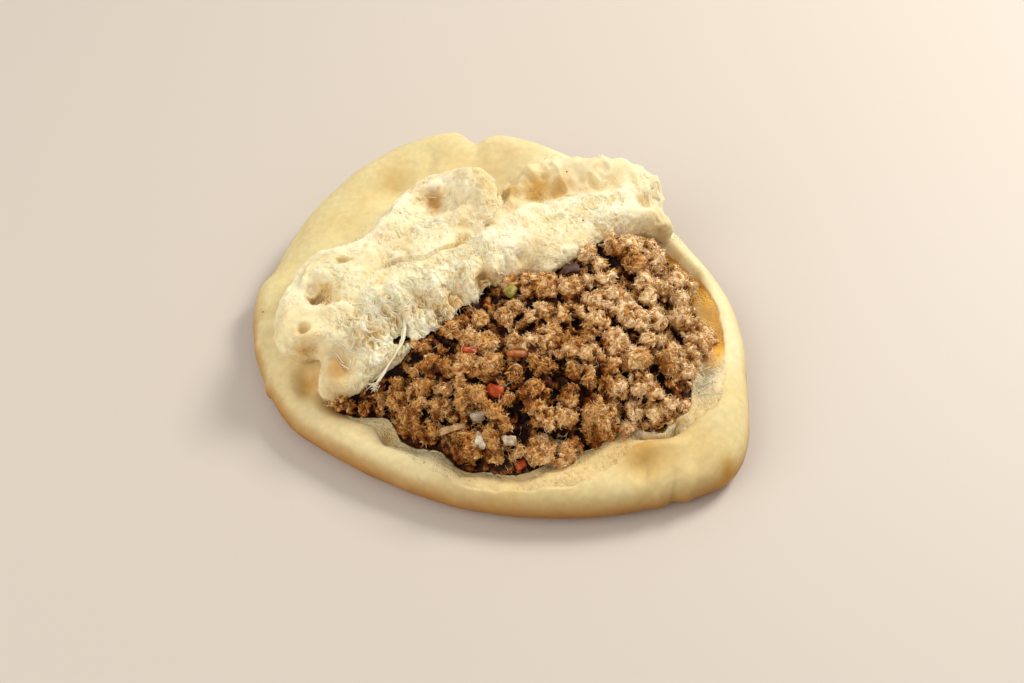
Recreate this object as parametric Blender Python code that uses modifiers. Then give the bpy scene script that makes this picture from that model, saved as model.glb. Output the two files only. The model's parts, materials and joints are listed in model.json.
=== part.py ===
"""Smoked herring pie: a round pocket of soft pale dough, torn open, its lid folded back over the filling.

Units are metres, +Z is up and the pie stands on Z = 0 with its centre over the origin.
The bread is one piece: a base with a rim, closed at the back left, and the torn lid that lies folded on it.
The filling is minced smoked herring that fills the pocket and runs on under the lid.
"""

import math

import bmesh
import bpy
import numpy as np
from mathutils import Euler, Matrix, Vector, noise
from mathutils.bvhtree import BVHTree

# Base: outline at its widest height, seen from above, anticlockwise from the left.
BASE_OUTLINE = (
    (-0.0862, 0.0000), (-0.0839, -0.0115), (-0.0805, -0.0210), (-0.0758, -0.0310), (-0.0685, -0.0416),
    (-0.0564, -0.0510), (-0.0391, -0.0613), (-0.0187, -0.0705), (0.0030, -0.0756), (0.0244, -0.0766),
    (0.0440, -0.0746), (0.0600, -0.0702), (0.0730, -0.0652), (0.0805, -0.0575), (0.0840, -0.0470),
    (0.0854, -0.0320), (0.0862, -0.0120), (0.0840, 0.0070), (0.0775, 0.0225), (0.0690, 0.0380),
    (0.0570, 0.0560), (0.0400, 0.0698), (0.0198, 0.0782), (0.0020, 0.0812), (-0.0085, 0.0798),
    (-0.0185, 0.0840), (-0.0382, 0.0792), (-0.0537, 0.0704), (-0.0668, 0.0560), (-0.0760, 0.0402),
    (-0.0818, 0.0238), (-0.0858, 0.0168), (-0.0866, 0.0080),
)
BASE_MIDDLE = (0.0, 0.0)
WAIST_HEIGHT = 0.0060
FOOT_INSET = 0.0070

# Gentle uneven waves of hand-shaped dough: (wavelength, height, layer of the pattern).
CRUST_WAVES = (0.0160, 0.0010, 3.0)
LID_LEFT_WAVES = (0.0085, 0.0016, 11.0)
LID_RIGHT_WAVES = (0.0085, 0.0016, 23.0)
CORE_WAVES = (0.0120, 0.0010, 31.0)

# Rim round the open side: a low front, a tall right side and a plump corner.
RIM_ROUNDING = 0.0095
RIM_HEIGHT = 0.0135
RIM_SWELLS = ((-25.0, 0.0040, 45.0), (25.0, 0.0030, 30.0))
RIM_INNER_DROP = 0.0035
WELL_DROP = 0.0070
WELL_SLOPE = 0.0060

# Closed side: the crust is highest behind the lid and low at the left.
CRUST_ROUNDING = 0.0140
CRUST_CREST = 0.0150
CRUST_SWELLS = ((96.0, 0.0180, 48.0),)
CRUST_MIDDLE_HEIGHT = 0.0270
CRUST_CREST_INSET = 0.0100
CRUST_MIDDLE_INSET = 0.0420

# The fold, a line across the pie that parts the closed side from the open one.
FOLD_POINT = (0.0, 0.0035)
FOLD_BEARING = math.radians(34.0)
FOLD_BLEND = 0.0050

# Herring core, inside the wall and above the bottom crust.
WALL = 0.0125
WALL_SWELLS = (
    (-45.0, 0.0165, 14.0), (-22.0, 0.0065, 9.0), (-66.0, 0.0075, 13.0), (-99.0, -0.0025, 4.0),
    (-109.0, 0.0040, 6.0), (-131.0, 0.0070, 8.0), (-162.0, 0.0090, 14.0), (2.0, 0.0020, 4.0),
    (15.0, -0.0025, 6.0), (28.0, -0.0020, 8.0), (120.0, 0.0085, 70.0), (-149.0, -0.0032, 7.0),
)
BOTTOM_CRUST = 0.0060
CORE_EDGE_HEIGHT = 0.0030
CORE_CROWN = 0.0195
CORE_SHOULDER = (-0.0100, 0.0280)
CORE_ROUNDING = 0.0060
GAP = 0.0003

# Clumps of mince that show on the open side: (radius, nearest like clump, facet level), largest first.
CLUMP_SIZES = ((0.0056, 0.0230, 2), (0.0046, 0.0100, 1), (0.0036, 0.0086, 1), (0.0028, 0.0084, 1))
CLUMP_SPREAD = 0.15
CLUMP_ROUGHNESS = 0.34
CLUMP_SINK = 0.10
CLUMP_PACKING = 0.84
CLUMP_TRIES = 1800
OPEN_SIDE_X = (-0.075, 0.080)
OPEN_SIDE_Y = (-0.072, 0.040)
SEED = 17

# Soft relief on the crust: (x, y, half length, half width, bearing in degrees, height).
CRUST_RELIEF = (
    (-0.0370, 0.0500, 0.0085, 0.0060, 20.0, -0.0045),
    (-0.0250, 0.0600, 0.0080, 0.0025, 80.0, -0.0014),
    (-0.0085, 0.0720, 0.0150, 0.0035, 95.0, -0.0030),
    (0.0060, 0.0530, 0.0150, 0.0060, 5.0, -0.0050),
    (0.0020, 0.0690, 0.0120, 0.0060, 0.0, 0.0016),
    (0.0190, 0.0750, 0.0090, 0.0050, -15.0, -0.0018),
    (0.0230, 0.0660, 0.0110, 0.0040, 0.0, 0.0020),
    (0.0110, 0.0670, 0.0110, 0.0040, -20.0, 0.0014),
    (0.0140, 0.0600, 0.0075, 0.0045, -30.0, 0.0036),
    (-0.0620, 0.0340, 0.0160, 0.0090, 55.0, 0.0022),
    (-0.0640, -0.0290, 0.0075, 0.0045, 80.0, -0.0050),
    (-0.0780, -0.0060, 0.0120, 0.0050, 85.0, -0.0012),
    (0.0540, -0.0500, 0.0070, 0.0035, 20.0, -0.0070),
    (0.0500, -0.0570, 0.0100, 0.0040, 15.0, 0.0030),
    (0.0700, -0.0440, 0.0110, 0.0060, 15.0, 0.0024),
    (0.0480, -0.0645, 0.0080, 0.0045, 10.0, -0.0020),
    (0.0640, -0.0640, 0.0060, 0.0040, 10.0, -0.0014),
    (-0.0430, -0.0470, 0.0100, 0.0050, -30.0, -0.0015),
    (0.0040, -0.0680, 0.0120, 0.0040, 0.0, -0.0012),
    (0.0720, 0.0120, 0.0120, 0.0030, 65.0, 0.0012),
)

# Torn lid, left part: from the lobe at the left end to the tongue that points right.
LID_LEFT_OUTLINE = (
    (-0.0530, -0.0375), (-0.0430, -0.0360), (-0.0310, -0.0290), (-0.0190, -0.0180), (-0.0080, -0.0070),
    (0.0020, 0.0030), (0.0050, 0.0140), (-0.0015, 0.0240), (-0.0005, 0.0350), (-0.0012, 0.0445),
    (-0.0080, 0.0515), (-0.0180, 0.0540), (-0.0300, 0.0490), (-0.0370, 0.0400), (-0.0450, 0.0270),
    (-0.0550, 0.0200), (-0.0660, 0.0180), (-0.0715, 0.0080), (-0.0755, -0.0060), (-0.0745, -0.0180),
    (-0.0670, -0.0240), (-0.0590, -0.0240), (-0.0570, -0.0310),
)
LID_LEFT_MIDDLE = (-0.0340, 0.0060)
LID_LEFT_TOP = 0.0330
LID_LEFT_SLOPE = 0.15
LID_LEFT_THICKNESS = 0.0130
LID_LEFT_RELIEF = (
    (-0.0060, 0.0410, 0.0080, 0.0100, 0.0, 0.0038),
    (-0.0020, 0.0330, 0.0100, 0.0040, 75.0, 0.0026),
    (-0.0130, 0.0370, 0.0060, 0.0050, 0.0, -0.0030),
    (-0.0230, 0.0350, 0.0085, 0.0060, 20.0, -0.0055),
    (-0.0110, 0.0470, 0.0100, 0.0030, 0.0, 0.0018),
    (-0.0100, 0.0190, 0.0120, 0.0028, 48.0, -0.0035),
    (-0.0520, 0.0060, 0.0120, 0.0080, 40.0, 0.0026),
    (-0.0602, -0.0036, 0.0056, 0.0038, -15.0, -0.0065),
    (-0.0520, 0.0110, 0.0040, 0.0025, 0.0, -0.0026),
    (-0.0705, -0.0120, 0.0030, 0.0110, 5.0, 0.0018),
    (-0.0660, -0.0190, 0.0040, 0.0030, 0.0, -0.0020),
    (-0.0360, -0.0100, 0.0180, 0.0080, 40.0, 0.0016),
    (-0.0510, -0.0310, 0.0080, 0.0080, 0.0, -0.0080),
    (-0.0330, -0.0240, 0.0110, 0.0050, 40.0, -0.0045),
    (-0.0100, -0.0060, 0.0110, 0.0050, 45.0, -0.0030),
)

# Torn lid, right part: the roll along the fold, a valley behind it and the ragged back edge.
LID_RIGHT_OUTLINE = (
    (-0.0120, -0.0050), (-0.0020, 0.0020), (0.0070, 0.0040), (0.0180, 0.0060), (0.0270, 0.0130),
    (0.0350, 0.0195), (0.0430, 0.0250), (0.0510, 0.0280), (0.0570, 0.0310), (0.0636, 0.0345),
    (0.0596, 0.0400), (0.0592, 0.0480), (0.0565, 0.0555), (0.0490, 0.0590), (0.0390, 0.0606),
    (0.0240, 0.0628), (0.0120, 0.0600), (0.0040, 0.0500), (-0.0060, 0.0300), (-0.0140, 0.0120),
)
LID_RIGHT_MIDDLE = (0.0220, 0.0330)
LID_RIGHT_TOP = 0.0350
LID_RIGHT_SLOPE = 0.0
LID_RIGHT_THICKNESS = 0.0135
LID_RIGHT_RELIEF = (
    (0.0070, 0.0150, 0.0140, 0.0070, 35.0, 0.0022),
    (0.0370, 0.0330, 0.0140, 0.0060, 32.0, 0.0020),
    (0.0120, 0.0430, 0.0100, 0.0065, 0.0, -0.0070),
    (0.0300, 0.0430, 0.0150, 0.0045, 8.0, -0.0040),
    (0.0340, 0.0545, 0.0160, 0.0045, -8.0, 0.0022),
    (0.0510, 0.0430, 0.0035, 0.0100, 10.0, -0.0024),
    (0.0455, 0.0440, 0.0025, 0.0110, 8.0, 0.0016),
    (0.0620, 0.0345, 0.0070, 0.0055, 20.0, -0.0080),
    (0.0550, 0.0540, 0.0070, 0.0050, -40.0, -0.0010),
    (0.0200, 0.0240, 0.0120, 0.0050, 30.0, -0.0014),
    (0.0140, 0.0590, 0.0110, 0.0060, 15.0, -0.0042),
    (0.0050, 0.0350, 0.0090, 0.0035, 80.0, -0.0030),
)

# Ridge of dough that ties the lid's left end to the rim.
TIE_PLACE = (-0.0530, -0.0298, 0.0165)
TIE_HALF_SIZE = (0.0060, 0.0078, 0.0080)
TIE_LEAN = (0.25, 0.0, -0.20)

# Chopped vegetables and skin on the mince: (name, material, x, y, size, spin, tilt), angles in degrees.
CHOPPED_PIECES = (
    ("red_pepper_large", "red_pepper", -0.0001, -0.0428, (0.0060, 0.0042, 0.0030), -12.0, (18.0, 12.0)),
    ("red_pepper_front", "red_pepper", 0.0083, -0.0612, (0.0040, 0.0030, 0.0022), 35.0, (25.0, -10.0)),
    ("red_pepper_left", "red_pepper", -0.0086, -0.0301, (0.0056, 0.0024, 0.0018), 12.0, (10.0, 20.0)),
    ("red_pepper_speck", "red_pepper", -0.0086, -0.0545, (0.0030, 0.0028, 0.0020), 50.0, (20.0, 5.0)),
    ("carrot_shred_left", "carrot", 0.0070, -0.0321, (0.0072, 0.0024, 0.0016), 10.0, (8.0, 12.0)),
    ("carrot_shred_right", "carrot", 0.0117, -0.0300, (0.0068, 0.0024, 0.0016), 118.0, (12.0, 8.0)),
    ("onion_left", "onion", -0.0055, -0.0502, (0.0042, 0.0032, 0.0018), 12.0, (15.0, -8.0)),
    ("onion_front", "onion", -0.0046, -0.0586, (0.0056, 0.0042, 0.0020), 75.0, (24.0, 6.0)),
    ("onion_cube", "onion", 0.0046, -0.0580, (0.0050, 0.0034, 0.0020), 12.0, (20.0, 15.0)),
    ("onion_right", "onion", 0.0199, -0.0557, (0.0056, 0.0042, 0.0018), 80.0, (20.0, 4.0)),
    ("green_pepper", "green_pepper", 0.0048, -0.0040, (0.0050, 0.0040, 0.0022), 60.0, (12.0, 8.0)),
    ("dark_skin", "dark_skin", 0.0258, 0.0070, (0.0062, 0.0036, 0.0016), 20.0, (10.0, 6.0)),
)
CHOPPED_LIFT = 0.0016
CHOPPED_ROUNDING = 0.28
SEAT_GAP = 0.0005
FLAKE_START = (-0.0238, -0.0498)
FLAKE_END = (-0.0098, -0.0510)
FLAKE_WIDTH = 0.0034
FLAKE_THICKNESS = 0.0014
FLAKE_BOW = 0.0014
FLAKE_STEPS = 8

HIGH_ABOVE = 0.2
WELD_DISTANCE = 0.00001

MATERIALS = {
    "bread": ((0.80, 0.66, 0.38), 0.75),
    "herring": ((0.36, 0.18, 0.07), 0.80),
    "red_pepper": ((0.62, 0.10, 0.03), 0.35),
    "carrot": ((0.55, 0.16, 0.04), 0.45),
    "onion": ((0.68, 0.60, 0.50), 0.30),
    "green_pepper": ((0.36, 0.34, 0.05), 0.35),
    "dark_skin": ((0.06, 0.03, 0.03), 0.40),
    "fish_flake": ((0.50, 0.32, 0.15), 0.60),
}


def clear_scene():
    for obj in list(bpy.data.objects):
        bpy.data.objects.remove(obj)


def material(name):
    colour, roughness = MATERIALS[name]
    made = bpy.data.materials.get(name) or bpy.data.materials.new(name)
    made.use_nodes = True
    shader = made.node_tree.nodes["Principled BSDF"]
    shader.inputs["Base Color"].default_value = (*colour, 1.0)
    shader.inputs["Roughness"].default_value = roughness
    shader.inputs["Metallic"].default_value = 0.0
    return made


def smooth_step(low, high, value):
    share = np.clip((value - low) / (high - low), 0.0, 1.0)
    return share * share * (3.0 - 2.0 * share)


def closed_curve(points, count):
    """Points spread along a smooth closed curve through the given ones (Catmull-Rom)."""
    points = np.array(points)
    ends = len(points)
    at = np.arange(count) / count * ends
    first = at.astype(int) % ends
    t = (at - at.astype(int))[:, None]
    before, start, stop, after = (points[(first + step) % ends] for step in (-1, 0, 1, 2))
    return 0.5 * (
        2.0 * start
        + (stop - before) * t
        + (2.0 * before - 5.0 * start + 4.0 * stop - after) * t**2
        + (3.0 * start - before - 3.0 * stop + after) * t**3
    )


def swells(bearing, base, bumps):
    """A value round the pie: the base plus rounded bumps at their bearings, all in degrees."""
    value = np.full_like(bearing, base)
    for centre, height, spread in bumps:
        away = (bearing - centre + 180.0) % 360.0 - 180.0
        value += height * np.exp(-((away / spread) ** 2))
    return value


def relief(x, y, features):
    """Sum of rounded bumps and dents, each an oval turned to its bearing."""
    total = np.zeros_like(x)
    for fx, fy, half_length, half_width, bearing, height in features:
        turn = math.radians(bearing)
        along = (x - fx) * math.cos(turn) + (y - fy) * math.sin(turn)
        across = (y - fy) * math.cos(turn) - (x - fx) * math.sin(turn)
        total += height * np.exp(-((along / half_length) ** 2) - (across / half_width) ** 2)
    return total


def waviness(x, y, waves):
    wavelength, height, layer = waves
    values = [noise.noise(Vector((a / wavelength, b / wavelength, layer))) for a, b in zip(x, y)]
    return height * np.array(values)


def bearing_of(x, y):
    return np.degrees(np.arctan2(y, x))


def closed_side(x, y):
    """0 on the open side of the fold, 1 on the closed side."""
    beyond = (y - FOLD_POINT[1]) * math.cos(FOLD_BEARING) - (x - FOLD_POINT[0]) * math.sin(FOLD_BEARING)
    return smooth_step(-FOLD_BLEND, FOLD_BLEND, beyond - FOLD_BLEND)


def rounded_edge(inset, width):
    """Quarter ellipse from 0 at the outline to 1 at the given width inside it."""
    return np.sqrt(1.0 - (1.0 - np.clip(inset / width, 0.0, 1.0)) ** 2)


def cushion(name, outline, middle, top, bottom, edge, segments, rings):
    """A closed soft body from a sphere: the equator goes to the outline, the halves to the top and bottom."""
    mesh_build = bmesh.new()
    bmesh.ops.create_uvsphere(mesh_build, u_segments=segments, v_segments=2 * rings, radius=1.0)
    unit = np.array([vertex.co for vertex in mesh_build.verts])
    border = closed_curve(outline, segments)
    column = np.round(np.arctan2(unit[:, 1], unit[:, 0]) / (2.0 * math.pi) * segments).astype(int) % segments
    share = np.hypot(unit[:, 0], unit[:, 1])[:, None]
    plan = np.array(middle) + share * (border[column] - np.array(middle))
    reach = np.linalg.norm(border[column] - np.array(middle), axis=1)
    inset = (1.0 - share[:, 0]) * reach
    upper = top(plan[:, 0], plan[:, 1], inset)
    lower = bottom(plan[:, 0], plan[:, 1], inset)
    height = edge(upper, lower, inset, unit[:, 2] >= 0.0)
    for vertex, (x, y), z in zip(mesh_build.verts, plan, height):
        vertex.co = (x, y, z)
    bmesh.ops.triangulate(mesh_build, faces=mesh_build.faces)
    mesh = bpy.data.meshes.new(name)
    mesh_build.to_mesh(mesh)
    mesh_build.free()
    mesh.shade_smooth()
    obj = bpy.data.objects.new(name, mesh)
    bpy.context.scene.collection.objects.link(obj)
    return obj


def base_top(x, y, inset):
    bearing = bearing_of(x, y)
    rim = swells(bearing, RIM_HEIGHT, RIM_SWELLS)
    wall = swells(bearing, WALL, WALL_SWELLS)
    inner_drop = RIM_INNER_DROP * smooth_step(0.5 * wall, wall, inset)
    well_drop = WELL_DROP * smooth_step(wall, wall + WELL_SLOPE, inset)
    open_height = rim - inner_drop - well_drop
    crest = swells(bearing, CRUST_CREST, CRUST_SWELLS)
    inward = smooth_step(CRUST_CREST_INSET, CRUST_MIDDLE_INSET, inset)
    closed_height = crest + (CRUST_MIDDLE_HEIGHT - crest) * inward
    closed = closed_side(x, y)
    height = open_height + (closed_height - open_height) * closed
    rounding = RIM_ROUNDING + (CRUST_ROUNDING - RIM_ROUNDING) * closed
    detail = relief(x, y, CRUST_RELIEF) + waviness(x, y, CRUST_WAVES)
    full_height = height + detail * rounded_edge(inset, rounding)
    return WAIST_HEIGHT + (full_height - WAIST_HEIGHT) * rounded_edge(inset, rounding)


def base_bottom(x, y, inset):
    return np.zeros_like(x)


def base_edge(upper, lower, inset, is_top):
    under = WAIST_HEIGHT + (lower - WAIST_HEIGHT) * rounded_edge(inset, FOOT_INSET)
    return np.where(is_top, upper, under)


def make_base():
    return cushion(
        "bread", BASE_OUTLINE, BASE_MIDDLE, base_top, base_bottom, base_edge, segments=60, rings=12
    )


def lid_part(name, outline, middle, height, slope, thickness, features, waves, segments, rings):
    """One part of the folded lid: a thick sheet of crumb with a rounded edge, lumpy on top."""

    def top(x, y, inset):
        return height + slope * (x - middle[0]) + relief(x, y, features) + waviness(x, y, waves)

    def bottom(x, y, inset):
        return top(x, y, inset) - thickness

    def edge(upper, lower, inset, is_top):
        middle_height = 0.5 * (upper + lower)
        target = np.where(is_top, upper, lower)
        return middle_height + (target - middle_height) * rounded_edge(inset, 0.5 * thickness)

    return cushion(name, outline, middle, top, bottom, edge, segments, rings)


def make_lid():
    left = lid_part(
        "lid_left", LID_LEFT_OUTLINE, LID_LEFT_MIDDLE, LID_LEFT_TOP, LID_LEFT_SLOPE, LID_LEFT_THICKNESS,
        LID_LEFT_RELIEF, LID_LEFT_WAVES, segments=44, rings=9,
    )
    right = lid_part(
        "lid_right", LID_RIGHT_OUTLINE, LID_RIGHT_MIDDLE, LID_RIGHT_TOP, LID_RIGHT_SLOPE,
        LID_RIGHT_THICKNESS, LID_RIGHT_RELIEF, LID_RIGHT_WAVES, segments=40, rings=8,
    )
    return left, right


def make_tie():
    """The short ridge of dough between the lid's left end and the rim."""
    bpy.ops.mesh.primitive_uv_sphere_add(segments=14, ring_count=9, radius=1.0, location=TIE_PLACE)
    tie = bpy.context.active_object
    tie.name = "lid_tie"
    shape = Matrix.LocRotScale(None, Euler(TIE_LEAN), Vector(TIE_HALF_SIZE))
    tie.data.transform(shape)
    return tie


def core_outline(inset):
    """The base's outline moved in by the wall's thickness."""
    border = closed_curve(BASE_OUTLINE, 120)
    reach = np.linalg.norm(border, axis=1)
    wall = swells(bearing_of(border[:, 0], border[:, 1]), WALL, WALL_SWELLS)
    return border * ((reach - wall + inset) / reach)[:, None]


def core_body(name, swell):
    """The packed mince under its loose clumps. A swell above 0 makes the pocket that it lies in."""

    def top(x, y, inset):
        crown = CORE_CROWN * smooth_step(*CORE_SHOULDER, inset)
        return BOTTOM_CRUST + CORE_EDGE_HEIGHT + crown + waviness(x, y, CORE_WAVES) + swell

    def bottom(x, y, inset):
        return np.full_like(x, BOTTOM_CRUST - swell)

    def edge(upper, lower, inset, is_top):
        middle_height = np.full_like(upper, BOTTOM_CRUST + CORE_EDGE_HEIGHT)
        target = np.where(is_top, upper, lower)
        return middle_height + (target - middle_height) * rounded_edge(inset, CORE_ROUNDING)

    return cushion(name, core_outline(swell), BASE_MIDDLE, top, bottom, edge, segments=44, rings=8)


def apply_boolean(obj, operation, other=None, collection=None, solver="EXACT"):
    modifier = obj.modifiers.new(operation.lower(), "BOOLEAN")
    modifier.operation = operation
    modifier.solver = solver
    if collection is None:
        modifier.object = other
    else:
        modifier.operand_type = "COLLECTION"
        modifier.collection = collection
    graph = bpy.context.evaluated_depsgraph_get()
    mesh = bpy.data.meshes.new_from_object(obj.evaluated_get(graph))
    obj.modifiers.remove(modifier)
    obj.data = mesh


def remove(*objects):
    for obj in objects:
        bpy.data.objects.remove(obj)


def keep_largest_shell(obj):
    """Drops loose scraps and the sealed hollows that joining can leave."""
    mesh_build = bmesh.new()
    mesh_build.from_mesh(obj.data)
    bmesh.ops.triangulate(mesh_build, faces=mesh_build.faces)
    unseen = set(mesh_build.verts)
    shells = []
    while unseen:
        front = [unseen.pop()]
        shell = set(front)
        while front:
            for edge in front.pop().link_edges:
                for vertex in edge.verts:
                    if vertex in unseen:
                        unseen.remove(vertex)
                        shell.add(vertex)
                        front.append(vertex)
        shells.append(shell)
    largest = max(shells, key=len)
    extra = [vertex for shell in shells if shell is not largest for vertex in shell]
    bmesh.ops.delete(mesh_build, geom=extra, context="VERTS")
    mesh_build.to_mesh(obj.data)
    mesh_build.free()


def make_bread():
    bread = make_base()
    pieces = [*make_lid(), make_tie()]
    for piece in pieces:
        apply_boolean(bread, "UNION", piece)
    pocket = core_body("pocket", GAP)
    apply_boolean(bread, "DIFFERENCE", pocket)
    remove(pocket, *pieces)
    keep_largest_shell(bread)
    return bread


def tree_of(obj):
    bpy.context.view_layer.update()
    graph = bpy.context.evaluated_depsgraph_get()
    return BVHTree.FromObject(obj, graph)


def surface_under(tree, x, y):
    """The height and normal of the first face met from above."""
    hit, normal, _, _ = tree.ray_cast(Vector((x, y, HIGH_ABOVE)), Vector((0.0, 0.0, -1.0)))
    return hit, normal


def is_clear(tree, place, radius):
    nearest, _, _, distance = tree.find_nearest(place)
    return nearest is None or distance > radius


def clump(name, place, radius, detail, random):
    """A rough crumb of fish: a coarse ball with its corners pushed in and out."""
    mesh_build = bmesh.new()
    bmesh.ops.create_icosphere(mesh_build, subdivisions=detail, radius=radius)
    spin = Euler(random.uniform(0.0, math.tau, 3)).to_matrix()
    for vertex in mesh_build.verts:
        push = 1.0 + CLUMP_ROUGHNESS * (random.random() - 0.5)
        vertex.co = place + spin @ vertex.co * push
    mesh = bpy.data.meshes.new(name)
    mesh_build.to_mesh(mesh)
    mesh_build.free()
    return bpy.data.objects.new(name, mesh)


def clump_places(core_tree, bread_tree, random):
    """Spots on the open side, clear of the bread, with the largest clumps placed first."""
    places = []
    for size, apart, detail in CLUMP_SIZES:
        for _ in range(CLUMP_TRIES):
            x, y = random.uniform(*OPEN_SIDE_X), random.uniform(*OPEN_SIDE_Y)
            radius = size * random.uniform(1.0 - CLUMP_SPREAD, 1.0 + CLUMP_SPREAD)
            hit, normal = surface_under(core_tree, x, y)
            above, _ = surface_under(bread_tree, x, y)
            if hit is None or (above is not None and above.z > hit.z):
                continue
            place = hit + normal * radius * CLUMP_SINK
            reach = radius * (1.0 + 0.5 * CLUMP_ROUGHNESS) + GAP
            if is_crowded(place, radius, size, apart, places) or not is_clear(bread_tree, place, reach):
                continue
            places.append((place, radius, size, detail))
    return places


def is_crowded(place, radius, size, apart, places):
    """True where the spot lies too deep in another clump, or too near one of its own size."""
    for other, other_radius, other_size, _ in places:
        distance = (place - other).length
        if distance < CLUMP_PACKING * (radius + other_radius):
            return True
        if size == other_size and distance < apart:
            return True
    return False


def chopped_piece(name, kind, x, y, size, spin, tilt, rest_tree):
    """A small block with rounded edges that lies on the mince."""
    hit, _ = surface_under(rest_tree, x, y)
    bpy.ops.mesh.primitive_cube_add(size=1.0, location=(x, y, hit.z + CHOPPED_LIFT))
    piece = bpy.context.active_object
    piece.name = name
    piece.data.name = name
    piece.data.transform(Matrix.LocRotScale(None, None, Vector(size)))
    piece.rotation_euler = (math.radians(tilt[0]), math.radians(tilt[1]), math.radians(spin))
    rounding = piece.modifiers.new("rounding", "BEVEL")
    rounding.width = CHOPPED_ROUNDING * min(size)
    rounding.segments = 1
    piece.data.materials.append(material(kind))
    return piece


def make_flake(rest_tree):
    """A long curved flake of fish: a flat strip that bends over the clumps."""
    curve = bpy.data.curves.new("fish_flake", "CURVE")
    curve.dimensions = "3D"
    spline = curve.splines.new("POLY")
    spline.points.add(FLAKE_STEPS - 1)
    start, end = np.array(FLAKE_START), np.array(FLAKE_END)
    start_height = surface_under(rest_tree, *start)[0].z + CHOPPED_LIFT
    end_height = surface_under(rest_tree, *end)[0].z + CHOPPED_LIFT
    for index, point in enumerate(spline.points):
        share = index / (FLAKE_STEPS - 1)
        arch = math.sin(math.pi * share)
        x, y = start + (end - start) * share
        z = start_height + (end_height - start_height) * share
        point.co = (x, y - FLAKE_BOW * arch, z + FLAKE_BOW * arch, 1.0)
        point.radius = 0.45 + 0.55 * arch
    curve.bevel_mode = "ROUND"
    curve.bevel_depth = 0.5 * FLAKE_WIDTH
    curve.bevel_resolution = 1
    curve.use_fill_caps = True
    guide = bpy.data.objects.new("flake_guide", curve)
    bpy.context.scene.collection.objects.link(guide)
    bpy.context.view_layer.update()
    graph = bpy.context.evaluated_depsgraph_get()
    mesh = bpy.data.meshes.new_from_object(guide.evaluated_get(graph))
    remove(guide)
    mesh_build = bmesh.new()
    mesh_build.from_mesh(mesh)
    bmesh.ops.remove_doubles(mesh_build, verts=mesh_build.verts, dist=WELD_DISTANCE)
    slope = (end_height - start_height) / (end[0] - start[0])
    for vertex in mesh_build.verts:
        share = (vertex.co.x - start[0]) / (end[0] - start[0])
        arch = math.sin(math.pi * min(max(share, 0.0), 1.0))
        middle = start_height + slope * (vertex.co.x - start[0]) + FLAKE_BOW * arch
        vertex.co.z = middle + (vertex.co.z - middle) * FLAKE_THICKNESS / FLAKE_WIDTH
    mesh_build.to_mesh(mesh)
    mesh_build.free()
    flake = bpy.data.objects.new("fish_flake", mesh)
    bpy.context.scene.collection.objects.link(flake)
    flake.data.materials.append(material("fish_flake"))
    return flake


def seat_for(piece):
    """A copy of the piece grown by the gap, which cuts its seat in the mince."""
    bpy.context.view_layer.update()
    graph = bpy.context.evaluated_depsgraph_get()
    mesh = bpy.data.meshes.new_from_object(piece.evaluated_get(graph))
    mesh.transform(piece.matrix_world)
    mesh_build = bmesh.new()
    mesh_build.from_mesh(mesh)
    bmesh.ops.triangulate(mesh_build, faces=mesh_build.faces)
    mesh_build.normal_update()
    moves = [vertex.normal * SEAT_GAP for vertex in mesh_build.verts]
    for vertex, move in zip(mesh_build.verts, moves):
        vertex.co += move
    mesh_build.to_mesh(mesh)
    mesh_build.free()
    seat = bpy.data.objects.new(piece.name + "_seat", mesh)
    bpy.context.scene.collection.objects.link(seat)
    return seat


def make_filling(bread):
    random = np.random.default_rng(SEED)
    core = core_body("filling", 0.0)
    core_tree, bread_tree = tree_of(core), tree_of(bread)
    heap = bpy.data.collections.new("clumps")
    bpy.context.scene.collection.children.link(heap)
    for index, (place, radius, _, detail) in enumerate(clump_places(core_tree, bread_tree, random)):
        heap.objects.link(clump(f"clump_{index}", place, radius, detail, random))
    apply_boolean(core, "UNION", collection=heap, solver="MANIFOLD")
    remove(*heap.objects)
    bpy.data.collections.remove(heap)
    keep_largest_shell(core)
    core.data.materials.clear()
    core.data.materials.append(material("herring"))
    return core


def dress_filling(filling):
    """Lays the chopped pieces on the mince and cuts a seat for each."""
    rest_tree = tree_of(filling)
    pieces = [chopped_piece(*row, rest_tree) for row in CHOPPED_PIECES]
    pieces.append(make_flake(rest_tree))
    for piece in pieces:
        seat = seat_for(piece)
        apply_boolean(filling, "DIFFERENCE", seat, solver="MANIFOLD")
        remove(seat)
    keep_largest_shell(filling)
    return pieces


def stand_on_origin(objects):
    """Moves everything so that the middle of the whole stands over the origin, with its foot at Z = 0."""
    bpy.context.view_layer.update()
    graph = bpy.context.evaluated_depsgraph_get()
    corners = []
    for obj in objects:
        box = obj.evaluated_get(graph).bound_box
        corners.extend(obj.matrix_world @ Vector(corner) for corner in box)
    corners = np.array(corners)
    low, high = corners.min(axis=0), corners.max(axis=0)
    shift = Vector((-(low[0] + high[0]) / 2.0, -(low[1] + high[1]) / 2.0, -low[2]))
    for obj in objects:
        obj.location += shift


def gather(objects):
    """Puts the finished pieces in the pie's own collection."""
    home = bpy.data.collections.new("smoked_herring_pie")
    bpy.context.scene.collection.children.link(home)
    for obj in objects:
        for old in list(obj.users_collection):
            old.objects.unlink(obj)
        home.objects.link(obj)


def main():
    clear_scene()
    bread = make_bread()
    bread.data.materials.clear()
    bread.data.materials.append(material("bread"))
    filling = make_filling(bread)
    pieces = dress_filling(filling)
    everything = [bread, filling, *pieces]
    stand_on_origin(everything)
    gather(everything)


main()
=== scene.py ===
"""Looks of the smoked herring pie: torn bread with a porous crumb, and a heap of minced smoked herring.

Everything is in metres. The shapes are worked out in the pie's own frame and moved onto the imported
model at the end by SHIFT, which centres the pie's box on the origin.
"""

import json
import math
from types import SimpleNamespace

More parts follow.
